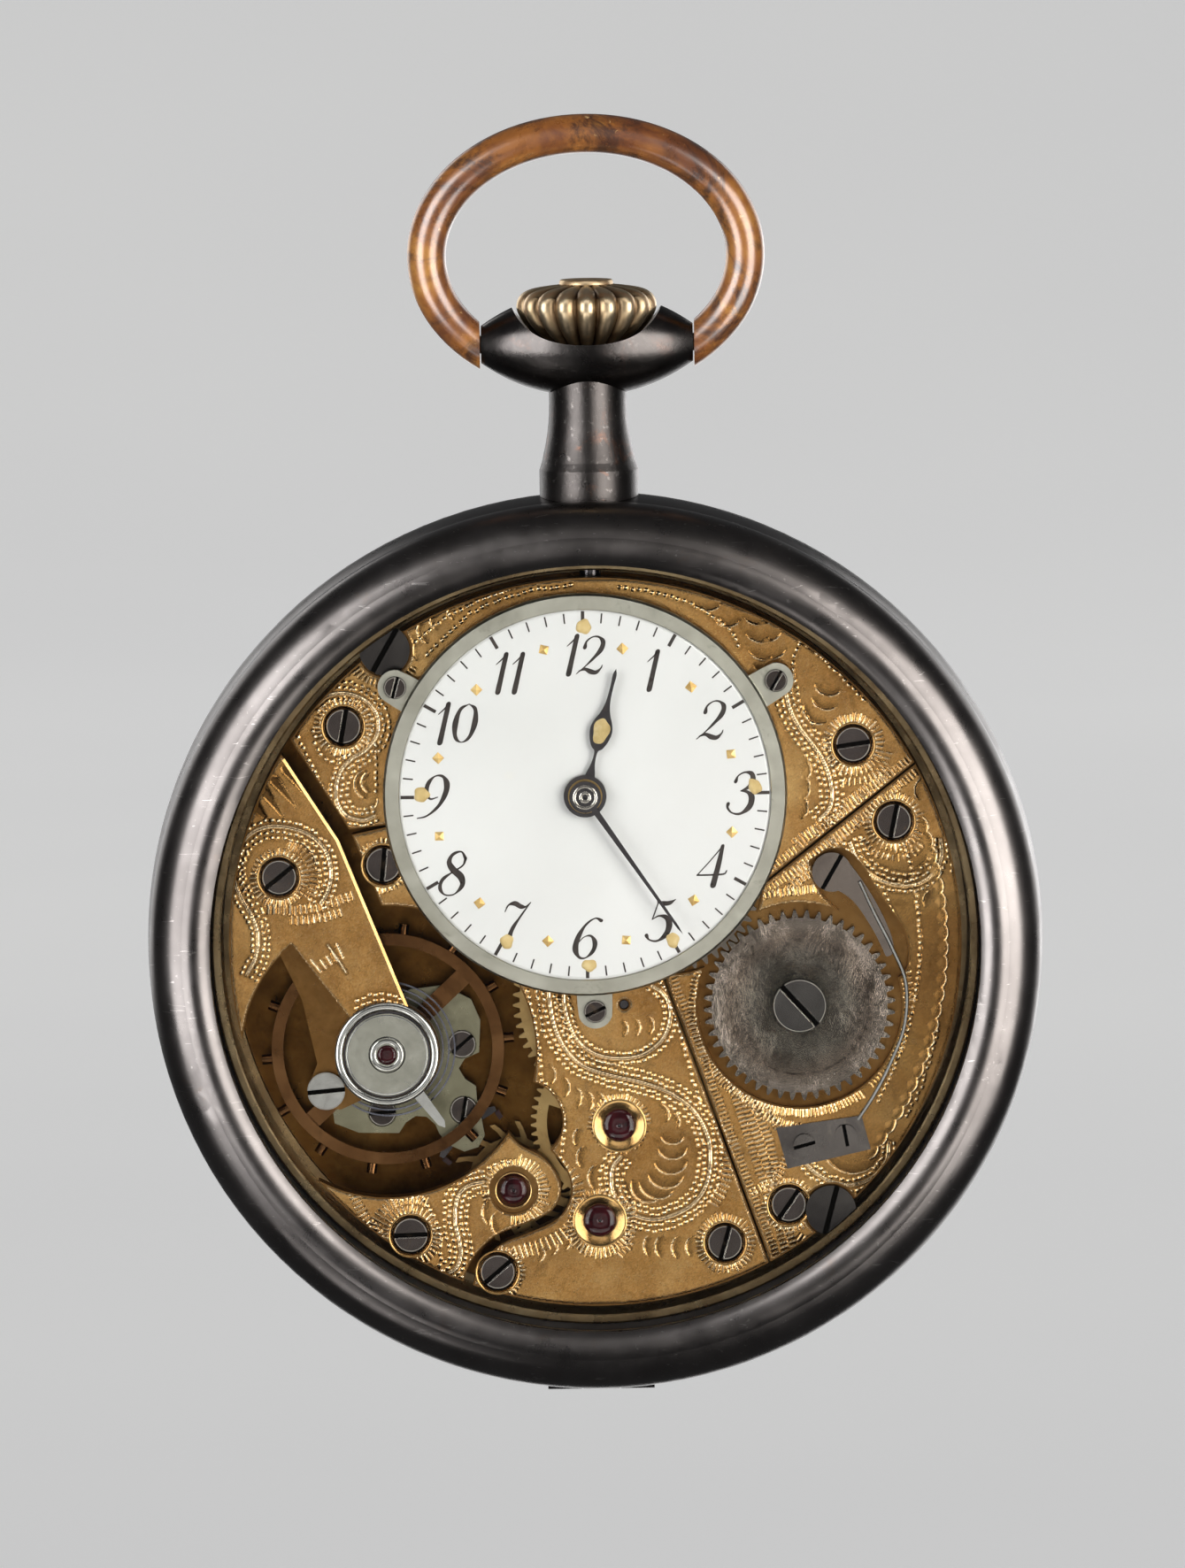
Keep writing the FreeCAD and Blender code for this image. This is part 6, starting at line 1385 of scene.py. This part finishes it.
# ---- light ---------------------------------------------------------------------------------------
def studio_world():
    """Dim to everything but the camera, which sees a pale grey."""
    world = bpy.data.worlds.new("studio")
    bpy.context.scene.world = world
    world.use_nodes = True
    tree = world.node_tree
    background = tree.nodes["Background"]
    path = tree.nodes.new("ShaderNodeLightPath")
    mixer = tree.nodes.new("ShaderNodeMix")
    mixer.data_type = "RGBA"
    tree.links.new(path.outputs["Is Camera Ray"], mixer.inputs[0])
    mixer.inputs[6].default_value = (0.075, 0.077, 0.080, 1.0)
    mixer.inputs[7].default_value = (0.60, 0.602, 0.60, 1.0)
    tree.links.new(mixer.outputs[2], background.inputs["Color"])
    background.inputs["Strength"].default_value = 1.0


def receivers(name, wanted):
    """A collection of the pieces that pass the test, for lights to be linked to."""
    group = bpy.data.collections.new(name)
    bpy.context.scene.collection.children.link(group)
    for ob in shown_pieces():
        if wanted(ob.name):
            group.objects.link(ob)
    return group


def softbox(name, group, azimuth, elevation, distance, size, radiance, color=(1, 1, 1)):
    """A soft light aimed at the watch; azimuth 0 is the viewer's side, 90 the right."""
    a, e = math.radians(azimuth), math.radians(elevation)
    direction = (math.sin(a) * math.cos(e), -math.cos(a) * math.cos(e), math.sin(e))
    at = Vector(direction) * distance
    lamp = bpy.data.lights.new(name, "AREA")
    lamp.shape = "RECTANGLE"
    lamp.size, lamp.size_y = size
    lamp.energy = radiance * math.pi * size[0] * size[1]
    lamp.color = color
    ob = bpy.data.objects.new(name, lamp)
    bpy.context.scene.collection.objects.link(ob)
    ob.location = at
    ob.rotation_euler = (-at).to_track_quat("-Z", "Y").to_euler()
    ob.light_linking.receiver_collection = group


studio_world()
OUTSIDE = {nodes[piece].name for piece in ("case_middle", "rear_cover", "bezel",
                                           "cover_hinge_pin", "pendant", "bow", "crystal")}
EVERYTHING = receivers("lit_by_softboxes", lambda name: True)
INSIDE = receivers("lit_by_front", lambda name: name not in OUTSIDE)
MOVEMENT = receivers("lit_low", lambda name: name not in OUTSIDE and "dial" not in name)
CASE = receivers("lit_outside", lambda name: name in OUTSIDE)
CASE_AND_DIAL = receivers("lit_outside_and_dial", lambda name: name in OUTSIDE or "dial" in name)
# name, receivers, azimuth, elevation, distance (m), size (m), radiance, colour
SOFTBOXES = [
    ("key_right", CASE_AND_DIAL, 38, 2, 0.62, (0.40, 0.60), 8.4, (1.0, 0.99, 0.97)),
    ("key_right_low", MOVEMENT, 44, 2, 0.62, (0.40, 0.60), 5.6, (1.0, 0.985, 0.95)),
    ("fill_left", CASE, -38, 6, 0.62, (0.36, 0.58), 8.8, (0.97, 0.985, 1.0)),
    ("fill_left_low", INSIDE, -45, 6, 0.62, (0.36, 0.58), 4.8, (0.97, 0.985, 1.0)),
    ("low_left", EVERYTHING, -30, -40, 0.8, (0.25, 0.22), 3.0),
    ("back_right", EVERYTHING, 140, 6, 0.75, (0.50, 0.60), 1.6),
    ("back_left", EVERYTHING, -140, 12, 0.75, (0.50, 0.60), 1.5),
    ("back_broad", EVERYTHING, 168, -16, 0.9, (0.9, 0.7), 1.3),
    ("front", INSIDE, 1, -6, 1.0, (0.52, 0.46), 0.66, (1.0, 0.985, 0.96)),
    ("below", INSIDE, 6, -38, 0.8, (0.70, 0.26), 1.7, (1.0, 0.98, 0.95)),
    ("above", INSIDE, 4, 50, 0.7, (0.60, 0.22), 1.8),
]
for row in SOFTBOXES:
    softbox(*row)

# ---- floor and backdrop (metres) -----------------------------------------------------------------
FLOOR_Z = -0.07
FLOOR_BACK = 0.9
BEND_RADIUS = 0.7
BEND_STEPS = 16


def paper():
    """Pale matt paper with a little light of its own."""
    f = Finish("paper")
    base = f.ramp(f.noise(3, detail=3, rough=0.5),
                  (0.3, (0.60, 0.60, 0.60)), (0.7, (0.64, 0.64, 0.635)))
    f.put(base, f.shader.inputs["Emission Color"])
    f.shader.inputs["Emission Strength"].default_value = 0.74
    gloss = f.span(f.noise(40, detail=3), MIDDLE, (0.85, 0.95))
    f.set(color=base, metal=0.0, rough=gloss)


def backdrop():
    """A floor that bends up into a wall behind the watch."""
    profile = [(-3.0, FLOOR_Z), (FLOOR_BACK, FLOOR_Z)]
    for i in range(1, BEND_STEPS + 1):
        a = math.pi / 2 * i / BEND_STEPS
        profile.append((FLOOR_BACK + BEND_RADIUS * math.sin(a),
                        FLOOR_Z + BEND_RADIUS * (1 - math.cos(a))))
    profile.append((FLOOR_BACK + BEND_RADIUS, 3.0))
    verts = [(x, y, z) for y, z in profile for x in (-4.0, 4.0)]
    faces = [(2 * i, 2 * i + 1, 2 * i + 3, 2 * i + 2) for i in range(len(profile) - 1)]
    sweep = add_mesh("sweep", verts, faces, "paper")
    sweep.visible_glossy = False


paper()
backdrop()

# ---- camera --------------------------------------------------------------------------------------
VIEW_WIDTH = 87.16  # mm across the picture at the target
VIEW_DISTANCE = 0.55  # m
SENSOR = 24.0
LOOK_DOWN = math.radians(5.6)
ROLL = 0.014


def add_camera():
    target = Vector((-0.033 * MM, -PLATE_FRONT * MM, 8.90 * MM))
    toward = Vector((0, math.cos(LOOK_DOWN), -math.sin(LOOK_DOWN)))
    right = Vector((1, 0, 0))
    up = right.cross(toward)
    rolled_right = right * math.cos(ROLL) - up * math.sin(ROLL)
    rolled_up = up * math.cos(ROLL) + right * math.sin(ROLL)
    data = bpy.data.cameras.new("camera")
    camera = bpy.data.objects.new("camera", data)
    bpy.context.scene.collection.objects.link(camera)
    pose = Matrix((rolled_right, rolled_up, -toward)).transposed().to_4x4()
    pose.translation = target - toward * VIEW_DISTANCE
    camera.matrix_world = pose
    data.sensor_width = SENSOR
    data.lens = SENSOR * VIEW_DISTANCE / (VIEW_WIDTH * MM)
    data.clip_start, data.clip_end = 0.01, 20
    bpy.context.scene.camera = camera


add_camera()
bpy.context.scene.view_settings.view_transform = "Standard"
bpy.context.scene.view_settings.look = "None"

bpy.context.view_layer.update()
